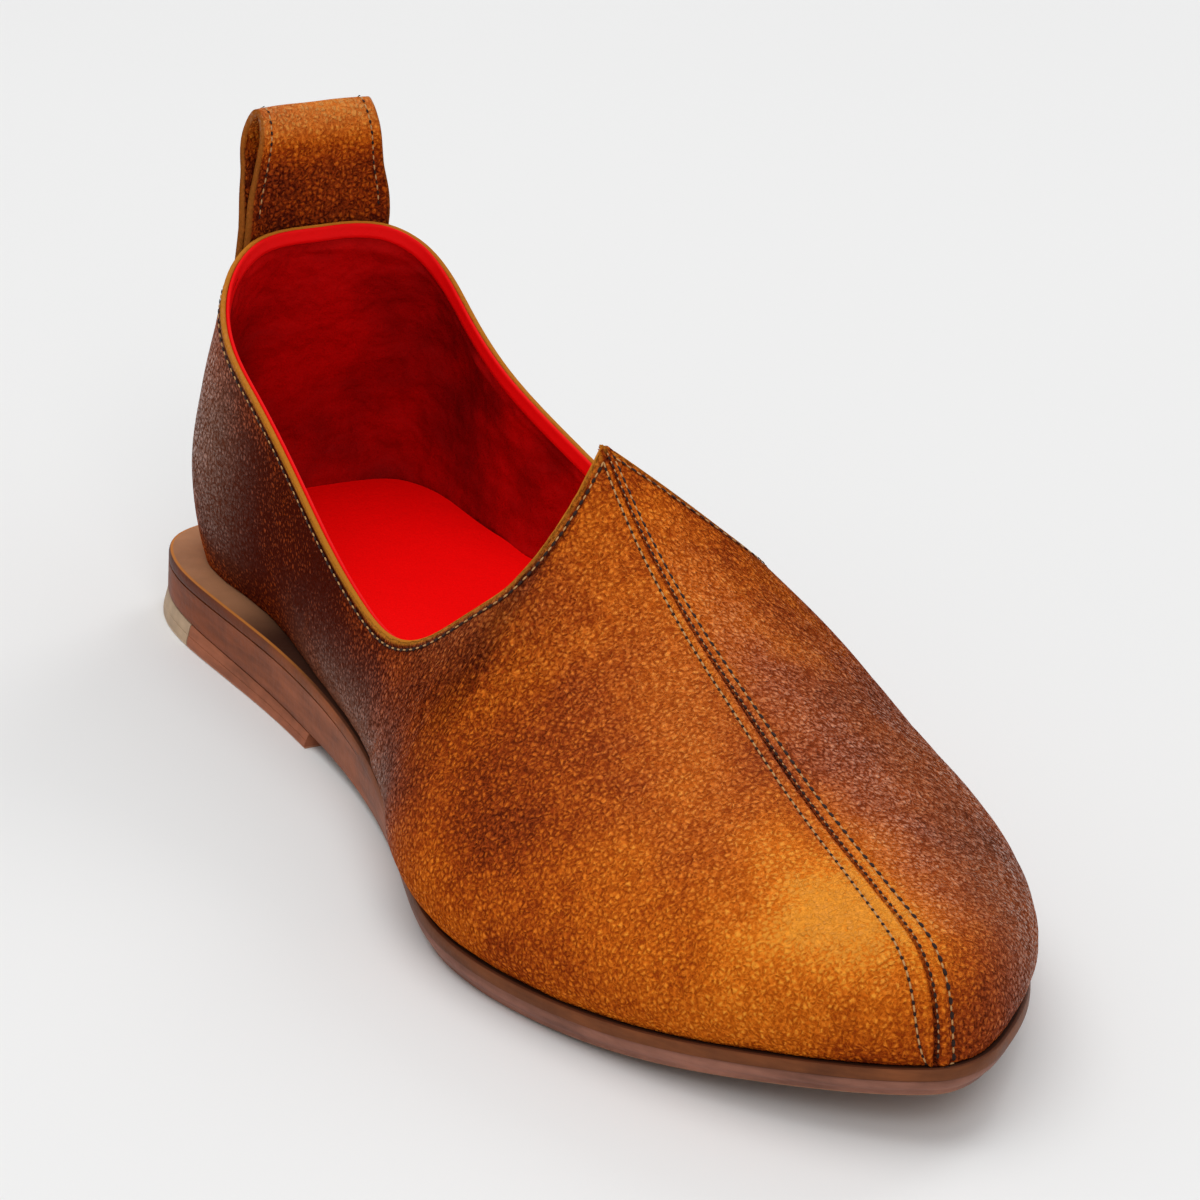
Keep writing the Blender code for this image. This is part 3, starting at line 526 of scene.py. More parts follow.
class Finish:
    """One procedural material."""

    def __init__(self, name, **constants):
        self.material = bpy.data.materials.new(name)
        self.material.use_nodes = True
        self.tree = self.material.node_tree
        self.surface = self.tree.nodes["Principled BSDF"]
        self.feed(**constants)
        self.place = self.node("ShaderNodeTexCoord").outputs["Object"]

    def join(self, value, socket):
        """Links a reading or a socket, and sets a number, a vector or a colour as a constant."""
        value = value.socket if isinstance(value, Reading) else value
        if isinstance(value, bpy.types.NodeSocket):
            self.tree.links.new(value, socket)
        else:
            socket.default_value = (*value, 1.0) if socket.type == "RGBA" else value

    def feed(self, **inputs):
        for key, value in inputs.items():
            self.join(value, self.surface.inputs[key.replace("_", " ")])

    def node(self, kind, sockets=None, **settings):
        node = self.tree.nodes.new(kind)
        for key, value in settings.items():
            setattr(node, key, value)
        for key, value in (sockets or {}).items():
            by_name = (s for s in node.inputs if key in (s.identifier, s.name))
            self.join(value, node.inputs[key] if isinstance(key, int) else next(by_name))
        return node

    def attribute(self, name):
        return Reading(self, self.node("ShaderNodeAttribute", attribute_name=name).outputs["Fac"])

    def noise(self, scale, detail=2.0, rough=0.5, at=None):
        sockets = {"Vector": at or self.place, "Scale": scale, "Detail": detail, "Roughness": rough}
        return Reading(self, self.node("ShaderNodeTexNoise", sockets).outputs[0])

    def cells(self, scale, at):
        """How far it is to the border of the nearest cell."""
        sockets = {"Vector": at, "Scale": scale}
        node = self.node("ShaderNodeTexVoronoi", sockets, feature="DISTANCE_TO_EDGE")
        return Reading(self, node.outputs["Distance"])

    def wandering(self, scale, amount):
        """The place on the surface, moved about by a noise so that cells lose their straight sides."""
        sockets = {"Vector": self.place, "Scale": scale, "Detail": 1.0}
        drift = self.node("ShaderNodeTexNoise", sockets).outputs["Color"]
        sockets = {0: drift, 1: (amount,) * 3, 2: self.place}
        return self.node("ShaderNodeVectorMath", sockets, operation="MULTIPLY_ADD").outputs[0]

    def colours(self, factor, *stops):
        node = self.node("ShaderNodeValToRGB", {"Fac": factor})
        while len(node.color_ramp.elements) < len(stops):
            node.color_ramp.elements.new(0.5)
        for element, (position, shade) in zip(node.color_ramp.elements, stops):
            element.position, element.color = position, (*shade, 1)
        return node.outputs["Color"]

    def mix(self, factor, first, second):
        sockets = {"Factor_Float": factor, "A_Color": first, "B_Color": second}
        node = self.node("ShaderNodeMix", sockets, data_type="RGBA")
        return next(s for s in node.outputs if s.identifier == "Result_Color")

    def bump(self, height, distance):
        node = self.node("ShaderNodeBump", {"Height": height, "Distance": distance})
        self.feed(Normal=node.outputs["Normal"])


# %% The floor
floor_finish = Finish("pale_floor", Roughness=0.9)
clouded = floor_finish.mix(floor_finish.noise(3.0), (0.82, 0.82, 0.82), (0.84, 0.84, 0.84))
floor_finish.feed(Base_Color=clouded)
ground = bmesh.new()
bmesh.ops.create_grid(ground, x_segments=8, y_segments=8, size=5.0)
floor = bpy.data.meshes.new("floor")
ground.to_mesh(floor)
ground.free()
floor.materials.append(floor_finish.material)
floor = bpy.data.objects.new("floor", floor)
bpy.context.scene.collection.objects.link(floor)
print("floor", tuple(round(v, 2) for v in floor.dimensions))

# %% [markdown]
# ## Sheets
#
# Leather comes as a sheet, so most pieces here are a sheet too: a grid from bmesh whose points are
# moved to where the last, the strap or the sole says. Sheets that share an edge are joined by
# merging the doubles on it. Solidify can give the sheet its thickness afterwards.


# %% Sheets from a grid
def sheet_into(work, points, flip=False):
    """Adds a grid to a bmesh and moves it to the points, an array of columns and rows."""
    columns, rows = points.shape[:2]
    made = bmesh.ops.create_grid(work, x_segments=columns - 1, y_segments=rows - 1, size=1.0)["verts"]
    corners = []
    for vert in made:
        i = round((vert.co.x + 1) / 2 * (columns - 1))
        j = round((vert.co.y + 1) / 2 * (rows - 1))
        vert.co = points[i, j]
        corners.append((vert, i, j))
    if flip:
        bmesh.ops.reverse_faces(work, faces=list({face for vert in made for face in vert.link_faces}))
    return corners


def finished(name, work, material, merge=None, wall=None, offset=-1):
    """Ends a bmesh as a named piece that rides on the shoe."""
    if merge:
        bmesh.ops.remove_doubles(work, verts=work.verts, dist=merge)
    mesh = bpy.data.meshes.new(name)
    work.to_mesh(mesh)
    work.free()
    mesh.polygons.foreach_set("use_smooth", [True] * len(mesh.polygons))
    mesh.materials.append(material)
    piece = bpy.data.objects.new(name, mesh)
    bpy.context.scene.collection.objects.link(piece)
    if wall:
        thick = piece.modifiers.new("wall", "SOLIDIFY")
        thick.thickness, thick.offset = wall, offset
        thick.use_quality_normals = True
    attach(piece, "root")
    print(name, len(mesh.polygons), "faces")
    return piece


# %% [markdown]
# ## The upper's outside
#
# The leather of this shoe is soft and milled, about a millimetre thick. Its sheet is laid over the
# last in columns that run up from the feather line, with the rows closer together near the edge,
# where the stitch rows and the seam press fine furrows into it. The collar is cut a little low,
# because the turned edge adds its own height on top.

# %% The upper's columns and rows
COLLAR_COLUMNS = 130
SEAM_COLUMNS = 110
PLAIN_ROWS = 60
EDGE_ROWS = 22
EDGE_ZONE = 7.0 * MM
RIB_SAMPLES = 240
TURNED_RADIUS = 0.55 * MM
COLLAR_PART = slice(0, COLLAR_COLUMNS + 1)
SEAM_PART = slice(COLLAR_COLUMNS, None)


def laid_columns(half):
    """Grid of points over one half, each point's distance to the sheet's edge along its column, its
    outward direction, and the place of each column's foot."""
    foot, rib, v = half.collar(np.linspace(0, 1, COLLAR_COLUMNS + 1), TURNED_RADIUS)
    seam = np.sin(np.linspace(0, math.pi / 2, SEAM_COLUMNS + 1))[1:]
    front = half.peak_t + (half.t[-1] - half.peak_t) * seam
    foot = np.concatenate([foot, front + (foot[-1] - rib[-1]) * (1 - seam) ** 2])[:, None]
    rib = np.concatenate([rib, front])[:, None]
    v = np.concatenate([v, np.ones(len(front))])[:, None]
    w = np.linspace(0, 1, RIB_SAMPLES)
    points, to_edge, out = [], [], []
    for line, low, high, top in zip(half.surface(foot + (rib - foot) * w, v * w), foot, rib, v):
        along = lengths_along(line)
        zone = along[-1] - min(EDGE_ZONE, 0.6 * along[-1])
        plain = np.linspace(0, zone, PLAIN_ROWS, endpoint=False)
        rows = np.concatenate([plain, np.linspace(zone, along[-1], EDGE_ROWS + 1)])
        share = np.interp(rows, along, w)
        points.append(at_lengths(line, rows))
        to_edge.append(along[-1] - rows)
        out.append(half.outward(low + (high - low) * share, top * share))
    return place(np.array(points)), np.array(to_edge), np.array(out), foot


LAID, TO_EDGE, OUT, ALONG = {}, {}, {}, {}
for side, half in HALVES.items():
    LAID[side], TO_EDGE[side], OUT[side], ALONG[side] = laid_columns(half)
COLLAR_EDGE = np.concatenate([LAID[side][COLLAR_PART, -1] for side in HALVES])
TO_COLLAR = {}
for side, sheet in LAID.items():
    gaps = [np.linalg.norm(column[:, None] - COLLAR_EDGE, axis=-1).min(axis=1) for column in sheet]
    TO_COLLAR[side] = np.array(gaps)
print("columns and rows", LAID[1].shape, "furthest from the collar", TO_COLLAR[1].max().round(3))

# %% [markdown]
# ## Creases, furrows and the seam
#
# The main creases are soft troughs with a ridge beside them, placed where the real shoe bends: a
# fan of arcs beside the throat on the medial side and short ones across the lateral side of the
# vamp. Each is a line between two places on the sheet, with a bow, a depth and a width. A crease is
# moved into the mesh itself, because a bump alone leaves the outline smooth.

# %% Creases
# side, from: share of the collar (over 1: of the seam) and height, to: the same, bow, depth and
# width in mm
CREASES = (
    (-1, 0.955, 0.30, 0.975, 0.86, 3.0, 0.45, 1.7),
    (-1, 0.990, 0.34, 1.020, 0.88, 3.5, 0.40, 1.6),
    (-1, 1.060, 0.40, 1.090, 0.86, 3.5, 0.35, 1.6),
    (-1, 1.140, 0.44, 1.180, 0.82, 3.0, 0.28, 1.6),
    (-1, 0.820, 0.25, 0.870, 0.80, -2.0, 0.32, 2.0),
    (-1, 0.560, 0.12, 0.660, 0.50, 1.5, 0.40, 2.4),
    (-1, 0.360, 0.10, 0.400, 0.60, 1.0, 0.30, 2.6),
    (1, 1.050, 0.30, 1.075, 0.80, -2.0, 0.40, 1.6),
    (1, 1.130, 0.26, 1.160, 0.78, -2.0, 0.42, 1.6),
    (1, 1.220, 0.24, 1.250, 0.76, -2.0, 0.40, 1.7),
    (1, 1.310, 0.22, 1.345, 0.74, -2.0, 0.38, 1.7),
    (1, 1.400, 0.26, 1.435, 0.72, -1.5, 0.32, 1.6),
    (1, 1.490, 0.30, 1.520, 0.70, -1.5, 0.26, 1.6),
    (1, 0.600, 0.15, 0.680, 0.60, 1.5, 0.35, 2.2),
    (1, 0.380, 0.10, 0.420, 0.60, 1.0, 0.30, 2.6),
)
# the stitch row beside the middle seam on each side: distance at the throat and at the toe, in mm
SEAM_ROWS = {-1: (2.0, 4.3), 1: (2.2, 3.7)}
TOPLINE_ROW = 1.60 * MM
# width and depth of the pressed lines, in mm
TOPLINE_FURROW = (0.50, 0.20)
ROW_FURROW = (0.55, 0.25)
SEAM_FURROW = (0.50, 0.60)
SEAM_SWELL = 0.42 * MM
UNEVEN = 0.10 * MM
# a crease's points, the columns for each unit of its bow, its ridge's share of its depth and the
# ridge's distance in widths
CREASE_POINTS = 25
BOW_COLUMNS = 1.2
RIDGE = 0.55
RIDGE_AT = 1.7


def crease_line(side, start, start_height, end, end_height, bow):
    """Points of a crease on the sheet."""
    grid = LAID[side]
    turn = np.linspace(0, 1, CREASE_POINTS)
    share = start + (end - start) * turn
    height = start_height + (end_height - start_height) * turn
    column = np.where(share < 1, share * COLLAR_COLUMNS, COLLAR_COLUMNS + (share - 1) * SEAM_COLUMNS)
    column = column + bow * np.sin(math.pi * turn) * BOW_COLUMNS
    row = height * (grid.shape[1] - 1)
    low_c, low_r = column.astype(int), row.astype(int)
    part_c, part_r = (column - low_c)[:, None], (row - low_r)[:, None]
    near = grid[low_c, low_r] * (1 - part_r) + grid[low_c, low_r + 1] * part_r
    far = grid[low_c + 1, low_r] * (1 - part_r) + grid[low_c + 1, low_r + 1] * part_r
    return near * (1 - part_c) + far * part_c


def creased(side):
    """How far each point moves out of the sheet for the creases, in metres."""
    points = LAID[side]
    lift = np.zeros(points.shape[:-1])
    for *place_and_bow, depth, width in [row[1:] for row in CREASES if row[0] == side]:
        line = crease_line(side, *place_and_bow)
        gaps = np.linalg.norm(points[..., None, :] - line, axis=-1)
        near = gaps.min(axis=-1) / (width * MM)
        fade = np.sin(math.pi * np.clip((gaps.argmin(axis=-1) + 1) / (len(line) + 1), 0, 1)) ** 0.7
        lift += depth * MM * fade * (RIDGE * bell(near - RIDGE_AT, 1.0) - bell(near, 1.0))
    return lift


def furrow(distance, width, depth):
    return -depth * MM * bell(distance, width * MM)


def seam_row_distance(side):
    """Distance of the stitch row from the seam for each of the seam's columns."""
    at_throat, at_toe = SEAM_ROWS[side]
    share = np.linspace(0, 1, SEAM_COLUMNS + 1)
    return (at_throat + (at_toe - at_throat) * ease(share * 1.15)) * MM


def worked(side):
    """The sheet with its creases, furrows, seam and slight unevenness."""
    points, to_edge = LAID[side], TO_EDGE[side]
    lift = creased(side) + furrow(TO_COLLAR[side] - TOPLINE_ROW, *TOPLINE_FURROW)
    beside, seam = seam_row_distance(side)[:, None], to_edge[SEAM_PART]
    lift[SEAM_PART] += furrow(seam - beside, *ROW_FURROW) + furrow(seam, *SEAM_FURROW)
    lift[SEAM_PART] += SEAM_SWELL * bell(seam - beside * 0.5, 0.38 * beside)
    x, y, z = np.moveaxis(points, -1, 0)
    wave = np.sin(x * 260 + y * 190) * np.sin(y * 310 - z * 270)
    wave = wave * np.clip(TO_COLLAR[side] / EDGE_ZONE, 0, 1) * np.clip(to_edge / EDGE_ZONE, 0, 1)
    return points + OUT[side] * (lift + UNEVEN * wave)[..., None]


WORKED = {side: worked(side) for side in HALVES}
print("deepest crease", round(float(creased(1).min()) * 1000, 2), "mm")

# %% [markdown]
# ## The turned edge
#
# Along the collar the leather is skived thin and turned over, so its rim is a smooth round roll. In
# cross-section that is half a circle, drawn in the plane of two directions at each place on the
# edge: straight into the shoe through the leather, and on over the edge. Swept along the collar
# it is one more sheet, which shares its first row with the upper and its two ends at the peak.


# %% The collar's two directions
def rim_frame():
    """Edge points from the medial side of the peak round the back to the lateral side, with the
    directions into the shoe and over the edge."""
    edge, out = [
        np.concatenate([sheet[-1][COLLAR_PART, -1][::-1], sheet[1][COLLAR_PART, -1][1:]])
        for sheet in (WORKED, OUT)
    ]
    into = -unit(out)
    beyond = unit(np.cross(unit(np.gradient(edge, axis=0)), into))
    beyond *= np.sign(beyond[len(edge) // 2, 2])
    for direction in (into, beyond):
        direction[[0, -1], 0] = 0.0
        direction[[0, -1]] = unit(direction[[0, -1]])
    return edge, into, beyond


RIM_EDGE, RIM_INTO, RIM_OVER = rim_frame()


def swept(profile):
    """Sheet along the rim. Each row of the profile is how far into the shoe and over the edge."""
    return np.stack([RIM_EDGE + RIM_INTO * a + RIM_OVER * b for a, b in profile], axis=1)


TURNED_EDGE = [
    (TURNED_RADIUS * (1 - math.cos(a)), TURNED_RADIUS * math.sin(a)) for a in np.linspace(0, math.pi, 10)
]
TURNED_EDGE += [(2 * TURNED_RADIUS, -0.4 * MM), (2 * TURNED_RADIUS, -0.9 * MM)]
print("rim", len(RIM_EDGE), "places,", round(float(lengths_along(RIM_EDGE)[-1]) * 1000), "mm round")

# %% [markdown]
# ## What the leather's finish needs to know
#
# The leather's tone changes over the shoe: dark in the quarters and below the notch, amber on top
# of the vamp. Part of that is wax rubbed in by hand, and part is painted light: painted shade on
# the medial side, where the other shoe of the pair shades it, a painted highlight on the toe, and
# painted shade and highlight along the stitch rows and the seam. Such a shade follows the shoe, not
# the world, so each point of the mesh carries it as an attribute, with its place along the ribs and
# its nearness to the rim.

# %% Tones rubbed into the leather, and painted shade and highlight
# x, y, z and radius in mm, then how much darker (+) or lighter (-): the wax's own tone, with
# painted shade and a painted highlight where noted
TONE_AND_PAINTED_LIGHT_SPOTS = (
    # medial side: its darker tone is partly painted shade, where the other shoe of the pair shades it
    (-36, 72, 40, 34, 0.34),
    (-34, 50, 34, 26, 0.20),
    (-38, 24, 26, 26, 0.34),
    (-30, 108, 44, 24, 0.30),
    (-46, -10, 18, 22, 0.30),
    (34, 62, 42, 40, 0.22),
    (34, 104, 48, 30, 0.26),
    (44, -40, 30, 40, -0.06),
    (0, 136, 50, 26, 0.20),
    (-34, -44, 30, 22, 0.10),
    (-18, -46, 58, 26, 0.05),
    (-20, -92, 38, 22, -0.07),
    # a painted highlight on the toe
    (-10, -117, 33, 17, -0.60),
    (18, -60, 54, 16, -0.02),
    (-6, -130, 12, 18, 0.24),
    # painted shade low on the medial heel
    (-36, 100, 24, 16, 0.28),
)
# where the grain is drawn out: x, y, z, radius and amount
WRINKLED = ((42, -62, 30, 34, 1.0), (34, -22, 48, 24, 0.7), (-30, -14, 44, 20, 0.8), (30, -108, 24, 22, 0.6))
# where the wax was polished to a gloss, which also mixes a pinkish-brown painted sheen into the leather's
# colour: x, y, z, radius and amount
GLOSS_AND_SHEEN_SPOTS = (
    (-34, 117, 52, 20, 1.25),
    (-36, 108, 28, 12, 0.3),
    (-35, 62, 13, 12, 0.5),
    (-38, 44, 14, 13, 0.7),
    (-40, 26, 13, 14, 0.9),
    (-44, 6, 13, 15, 0.9),
    (-47, -14, 13, 15, 0.7),
    (42, -70, 34, 40, 0.75),
    (36, -116, 24, 24, 1.0),
    (-8, -119, 33, 12, 0.10),
    (-28, -2, 54, 14, 0.40),
    (-22, -60, 50, 50, 0.10),
)
PLAIN_SHADE = 0.36
PLAIN_GLOSS = 0.03
RIM_FADE = 0.70 * MM
FACTS = ("along", "high", "rim", "shade", "wrinkle", "gloss_and_sheen")


def spotted(points, spots, base):
    """Sum of soft round spots at each point."""
    value = np.full(points.shape[:-1], base)
    for x, y, z, radius, amount in spots:
        value += amount * bell(np.linalg.norm(points - np.array((x, y, z)) * MM, axis=-1), radius * MM)
    return value


def leather_facts(points, along, high, to_rim):
    """Attributes for a sheet of leather."""
    rim = np.clip(1.4 - to_rim / RIM_FADE, 0, 1)
    wrinkle = np.clip(spotted(points, WRINKLED, 0.0), 0, 1)
    gloss_and_sheen = np.clip(spotted(points, GLOSS_AND_SHEEN_SPOTS, PLAIN_GLOSS), 0, 1)
    return dict(zip(FACTS, (along, high, rim, spotted(points, TONE_AND_PAINTED_LIGHT_SPOTS, PLAIN_SHADE), wrinkle, gloss_and_sheen)))


def leather_mesh():
    """A bmesh with room for the attributes, which is made first because it renews every point."""
    work = bmesh.new()
    for name in FACTS:
        work.verts.layers.float.new(name)
    return work


def keep_facts(work, corners, facts):
    """Stores the attributes on the points that a grid was moved to."""
    for name, values in facts.items():
        layer = work.verts.layers.float[name]
        for vert, i, j in corners:
            vert[layer] = float(values[i, j])


print("shade spots", len(TONE_AND_PAINTED_LIGHT_SPOTS))

# %% Milled and waxed leather
GRAIN = 860.0


def milled_leather(name, rim_colour):
    """Waxed, milled cowhide: fine pebbles with dark valleys, drawn out along the ribs of the last
    where the leather was pulled, over cloudy shades that are partly wax and partly painted shade and
    highlight. Polished spots shine, and a pinkish-brown painted sheen is mixed into their colour."""
    hide = Finish(name, Specular_IOR_Level=0.0, Coat_Roughness=0.24, Coat_IOR=1.5)
    moved = hide.wandering(380.0, 0.0010)
    pebbles = hide.cells(GRAIN, moved).between(0.02, 0.36)
    specks = hide.noise(GRAIN * 1.5, 3.0, 0.65, at=moved).between(0.36, 0.60)
    along, high, rim, shade, wrinkle, gloss_and_sheen = [hide.attribute(fact) for fact in FACTS]
    ways = {"X": along * 1250.0, "Y": high * 420.0, "Z": 0.0}
    across = hide.node("ShaderNodeCombineXYZ", ways).outputs[0]
    strokes = hide.noise(1.0, 3.0, 0.6, at=across).between(0.38, 0.62)
    clouds = hide.noise(42.0, 4.0, 0.6).between(0.34, 0.68)
    patches = hide.noise(14.0, 2.0).between(0.35, 0.65)
    pulled = wrinkle * 0.36 + 0.22
    valley = (1 - pebbles) * 0.56 + (1 - specks) * 0.32 + (1 - strokes) * pulled
    tone = shade + (clouds - 0.5) * 0.20 + (patches - 0.5) * 0.16 + valley * 0.52 - 0.16
    grained = hide.colours(
        tone,
        (0.02, (1.00, 0.350, 0.030)),
        (0.22, (0.88, 0.215, 0.012)),
        (0.42, (0.62, 0.122, 0.005)),
        (0.66, (0.33, 0.044, 0.003)),
        (0.95, (0.07, 0.006, 0.002)),
    )
    # painted sheen: where the leather is glossy, a pinkish-brown colour is mixed in for the reflection of
    # the pale room
    painted_sheen_mask = (gloss_and_sheen * (0.75 - valley * 0.45)).maths("MAXIMUM", 0.0)
    with_painted_sheen = hide.mix(painted_sheen_mask, grained, (0.34, 0.150, 0.085))
    hide.feed(Base_Color=hide.mix(rim * 0.85, with_painted_sheen, rim_colour))
    hide.feed(Roughness=0.42 + valley * 0.22 + hide.noise(90.0, 3.0) * 0.10)
    hide.feed(Coat_Weight=gloss_and_sheen * (0.95 - valley * 1.1).maths("MAXIMUM", 0.0))
    relief = pebbles * 0.6 + specks * 0.5 + strokes * (0.4 + wrinkle * 2.0)
    hide.bump((relief - 0.87) * (1 - rim * 0.8), 0.00046)
    return hide.material


UPPER_HIDE = milled_leather("milled_leather", (0.52, 0.19, 0.020))
print("nodes in the leather", len(UPPER_HIDE.node_tree.nodes))


# %% The upper
LEATHER_WALL = 0.8 * MM
LEATHER_MERGE = 0.02 * MM


def upper_leather():
    work = leather_mesh()
    for side, points in WORKED.items():
        corners = sheet_into(work, points, flip=side > 0)
        to_edge = TO_EDGE[side]
        high = to_edge[:, :1] - to_edge
        facts = leather_facts(points, ALONG[side] + 0 * high, high, TO_COLLAR[side])
        # painted shade in the furrow of the topline stitch row and in the seam's groove, and a painted
        # highlight on the seam's raised band beside it
        facts["shade"] += 0.22 * bell(TO_COLLAR[side] - TOPLINE_ROW, 0.45 * MM)
        facts["shade"][SEAM_PART] += 0.30 * bell(to_edge[SEAM_PART], 0.50 * MM)
        facts["shade"][SEAM_PART] -= 0.12 * bell(to_edge[SEAM_PART] - 1.7 * MM, 0.8 * MM)
        keep_facts(work, corners, facts)
    rim = swept(TURNED_EDGE)
    flat = np.zeros(rim.shape[:-1])
    keep_facts(work, sheet_into(work, rim, flip=True), leather_facts(rim, flat, flat, flat))
    return finished("upper_leather", work, UPPER_HIDE, LEATHER_MERGE, LEATHER_WALL)


upper = upper_leather()
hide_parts("upper")

# %% [markdown]
# ## The lining
#
# The shoe is lined with thin deep red leather, cut like the upper and turned out over its rim, where
# it shows as a red roll beside the tan edge. It lies about 2.3 mm inside the leather's outside. A
# lining is never quite flat: it is glued by hand, so soft folds run down from the collar at the back.

# %% The lining's place
LINING_DEPTH = 2.35 * MM
LINING_END = -14
LINING_WALL = 0.25 * MM
LINING_MERGE = 0.03 * MM


def shared_out(side):
    """Outward directions that the two halves share where they meet."""
    out, twin = OUT[side], OUT[-side]
    near = bell(TO_EDGE[side], 3 * MM)[..., None]
    near[COLLAR_PART] = 0
    near[:1] = 1
    return unit(out * (1 - near) + unit(out + twin) * near)


def lining_folds(points, to_rim):
    """How far the lining stands off the leather, in metres."""
    x, y, z = np.moveaxis(points / MM, -1, 0)
    around = np.arctan2(x, y - 70)
    back = ease((y - 40) / 50)
    folds = np.sin(around * 9 + z * 0.09 + np.sin(z * 0.13) * 1.3) * 0.55 * back
    wrinkles = np.sin(z * 1.25 + np.sin(around * 7) * 1.8 + x * 0.12) * 0.20 * back
    sag = np.sin(y * 0.11 + z * 0.07) * 0.22 * (1 - back)
    facing = 0.40 * bell(to_rim / MM - 4.6, 0.7)
    quiet = np.clip(to_rim / (5 * MM), 0, 1) ** 1.5
    tucked = 0.5 * bell(to_rim, 1.4 * MM)
    return ((folds + wrinkles + sag + facing) * quiet - tucked) * MM


LINED = {}
for side, sheet in LAID.items():
    depth = LINING_DEPTH + lining_folds(sheet, TO_COLLAR[side])
    LINED[side] = sheet - shared_out(side) * depth[..., None]
print("lining at the collar's back", (LINED[1][0, -1] * 1000).round(1), "mm")

# %% The red finishes
lining_red = Finish("red_lining", Specular_IOR_Level=0.06, Roughness=0.72)
rubbed = lining_red.noise(26.0, 3.0, 0.6).between(0.30, 0.72)
rubbed = lining_red.mix(rubbed, (0.19, 0.0003, 0.0006), (0.52, 0.0003, 0.0006))
lining_red.feed(Base_Color=rubbed)
suede = lining_red.noise(1500.0, 2.0, 0.6) + lining_red.noise(160.0) * 3.0
lining_red.bump(suede + lining_red.noise(75.0, 3.0) * 26.0, 0.00022)

sock_red = Finish("red_sock", Specular_IOR_Level=0.05, Roughness=0.75)
trodden = sock_red.mix(sock_red.noise(30.0, 3.0), (0.90, 0.0003, 0.0005), (0.98, 0.0005, 0.0008))
sock_red.feed(Base_Color=trodden)
sock_red.bump(sock_red.noise(1200.0, 2.0, 0.6) + sock_red.noise(120.0) * 2.0, 0.00020)

roll_red = Finish("red_roll", Specular_IOR_Level=0.12, Roughness=0.6, Base_Color=(0.86, 0.0008, 0.0016))
roll_red.bump(roll_red.noise(500.0), 0.00012)
print("red finish", len(lining_red.tree.nodes), "nodes")

# %% The lining's roll and sheet
# the roll's section, in mm into the shoe and over the leather's edge
ROLL = ((2.6, -2.4), (2.45, -1.7), (2.25, -1.1), (2.08, -0.5), (2.0, 0.0), (1.90, 0.28), (1.70, 0.46))
ROLL += ((1.48, 0.50), (1.30, 0.40), (1.18, 0.20), (1.14, 0.0), (1.14, -1.4))
ROLL_SINKS = 1.2 * MM


def lining_roll():
    """The lining's edge, turned out over the rim as a red roll, and sunk at its ends at the peak."""
    work = bmesh.new()
    along = lengths_along(RIM_EDGE)
    sunk = np.exp(-(along / (3 * MM))) + np.exp(-((along[-1] - along) / (3 * MM)))
    sunk = (RIM_OVER * sunk[:, None] * ROLL_SINKS)[:, None]
    sheet_into(work, swept([(a * MM, b * MM) for a, b in ROLL]) - sunk)
    return finished("red_roll", work, roll_red.material, wall=LINING_WALL)


def lining_leather():
    work = bmesh.new()
    for side in HALVES:
        sheet_into(work, LINED[side][:LINING_END, ::2], flip=side < 0)
    return finished("red_lining", work, lining_red.material, LINING_MERGE, LINING_WALL)


for piece in (lining_roll(), lining_leather()):
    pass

# %% [markdown]
# ## Slabs
#
# The sock and every layer of the sole are slabs: closed rings of points stacked from the bottom to
# the top, with a sheet across the first and the last ring. Each ring is a left and a right side read
# at the same stations, closer together at the heel and the toe, where the outline turns.

# %% Slabs from rings
SHARP = math.radians(35)


def stations(first, last, steps):
    return first + (last - first) * (1 - np.cos(np.linspace(0, math.pi, steps + 1))) / 2


def ring_sides(distance, height, start=None, end=None, steps=150):
    """Both sides of the sole's outline, inset by a distance, at a height."""
    ring = inset(OUTLINE, distance(OUTLINE[:, 1]) if callable(distance) else distance)
    halves = [ring[half] for half in sides(ring)]
    first = halves[0][0, 1] if start is None else start
    last = halves[0][-1, 1] if end is None else end
    along = stations(first, last, steps)
    both = [(np.interp(along, half[:, 1], half[:, 0]), along, height(along)) for half in halves]
    return [place(np.column_stack(columns)) for columns in both]


def slab(name, levels, shades, material, across=12):
    """A closed slab. Each level is a left and a right side, each shade a number from 0 on its flat
    faces to 1 on its edge, and fore grows from 0 at the heel to 1 at the toe."""
    work = bmesh.new()
    edge = work.verts.layers.float.new("edge")
    fore = work.verts.layers.float.new("fore")
    around = np.stack([np.concatenate([left, right[::-1], left[:1]]) for left, right in levels], axis=1)
    corners = [(vert, shades[j]) for vert, _, j in sheet_into(work, around)]
    w = np.linspace(0, 1, across + 1)[:, None]
    for end in (0, -1):
        left, right = levels[end]
        sheet = left[:, None] * (1 - w) + right[:, None] * w
        corners += [(vert, shades[end]) for vert, _, _ in sheet_into(work, sheet)]
    for vert, shade in corners:
        vert[edge] = shade
        vert[fore] = 0.5 - vert.co.y / SOLE_LENGTH
    bmesh.ops.remove_doubles(work, verts=work.verts, dist=MERGE)
    bmesh.ops.dissolve_degenerate(work, edges=work.edges, dist=MERGE / 10)
    bmesh.ops.recalc_face_normals(work, faces=work.faces)
    piece = finished(name, work, material)
    piece.data.set_sharp_from_angle(angle=SHARP)
    return piece


print("stations", stations(0, 1, 4).round(3))

# %% [markdown]
# ## The sock
#
# The red footbed fills the shoe from wall to wall. Its edge is found where the lining passes the
# sock's own height, so there is no gap round it, and its top is a little dished, as a foot presses it.

# %% The sock
SOCK_DISH = 0.7 * MM
SOCK_HALF_WIDTH = 30 * MM
SOCK_TOP = 1.6 * MM
# height over the sock's top and distance inside the lining, in mm
SOCK_LEVELS = ((-3.4, 0.9), (-0.5, 0.25), (0.0, 0.35))


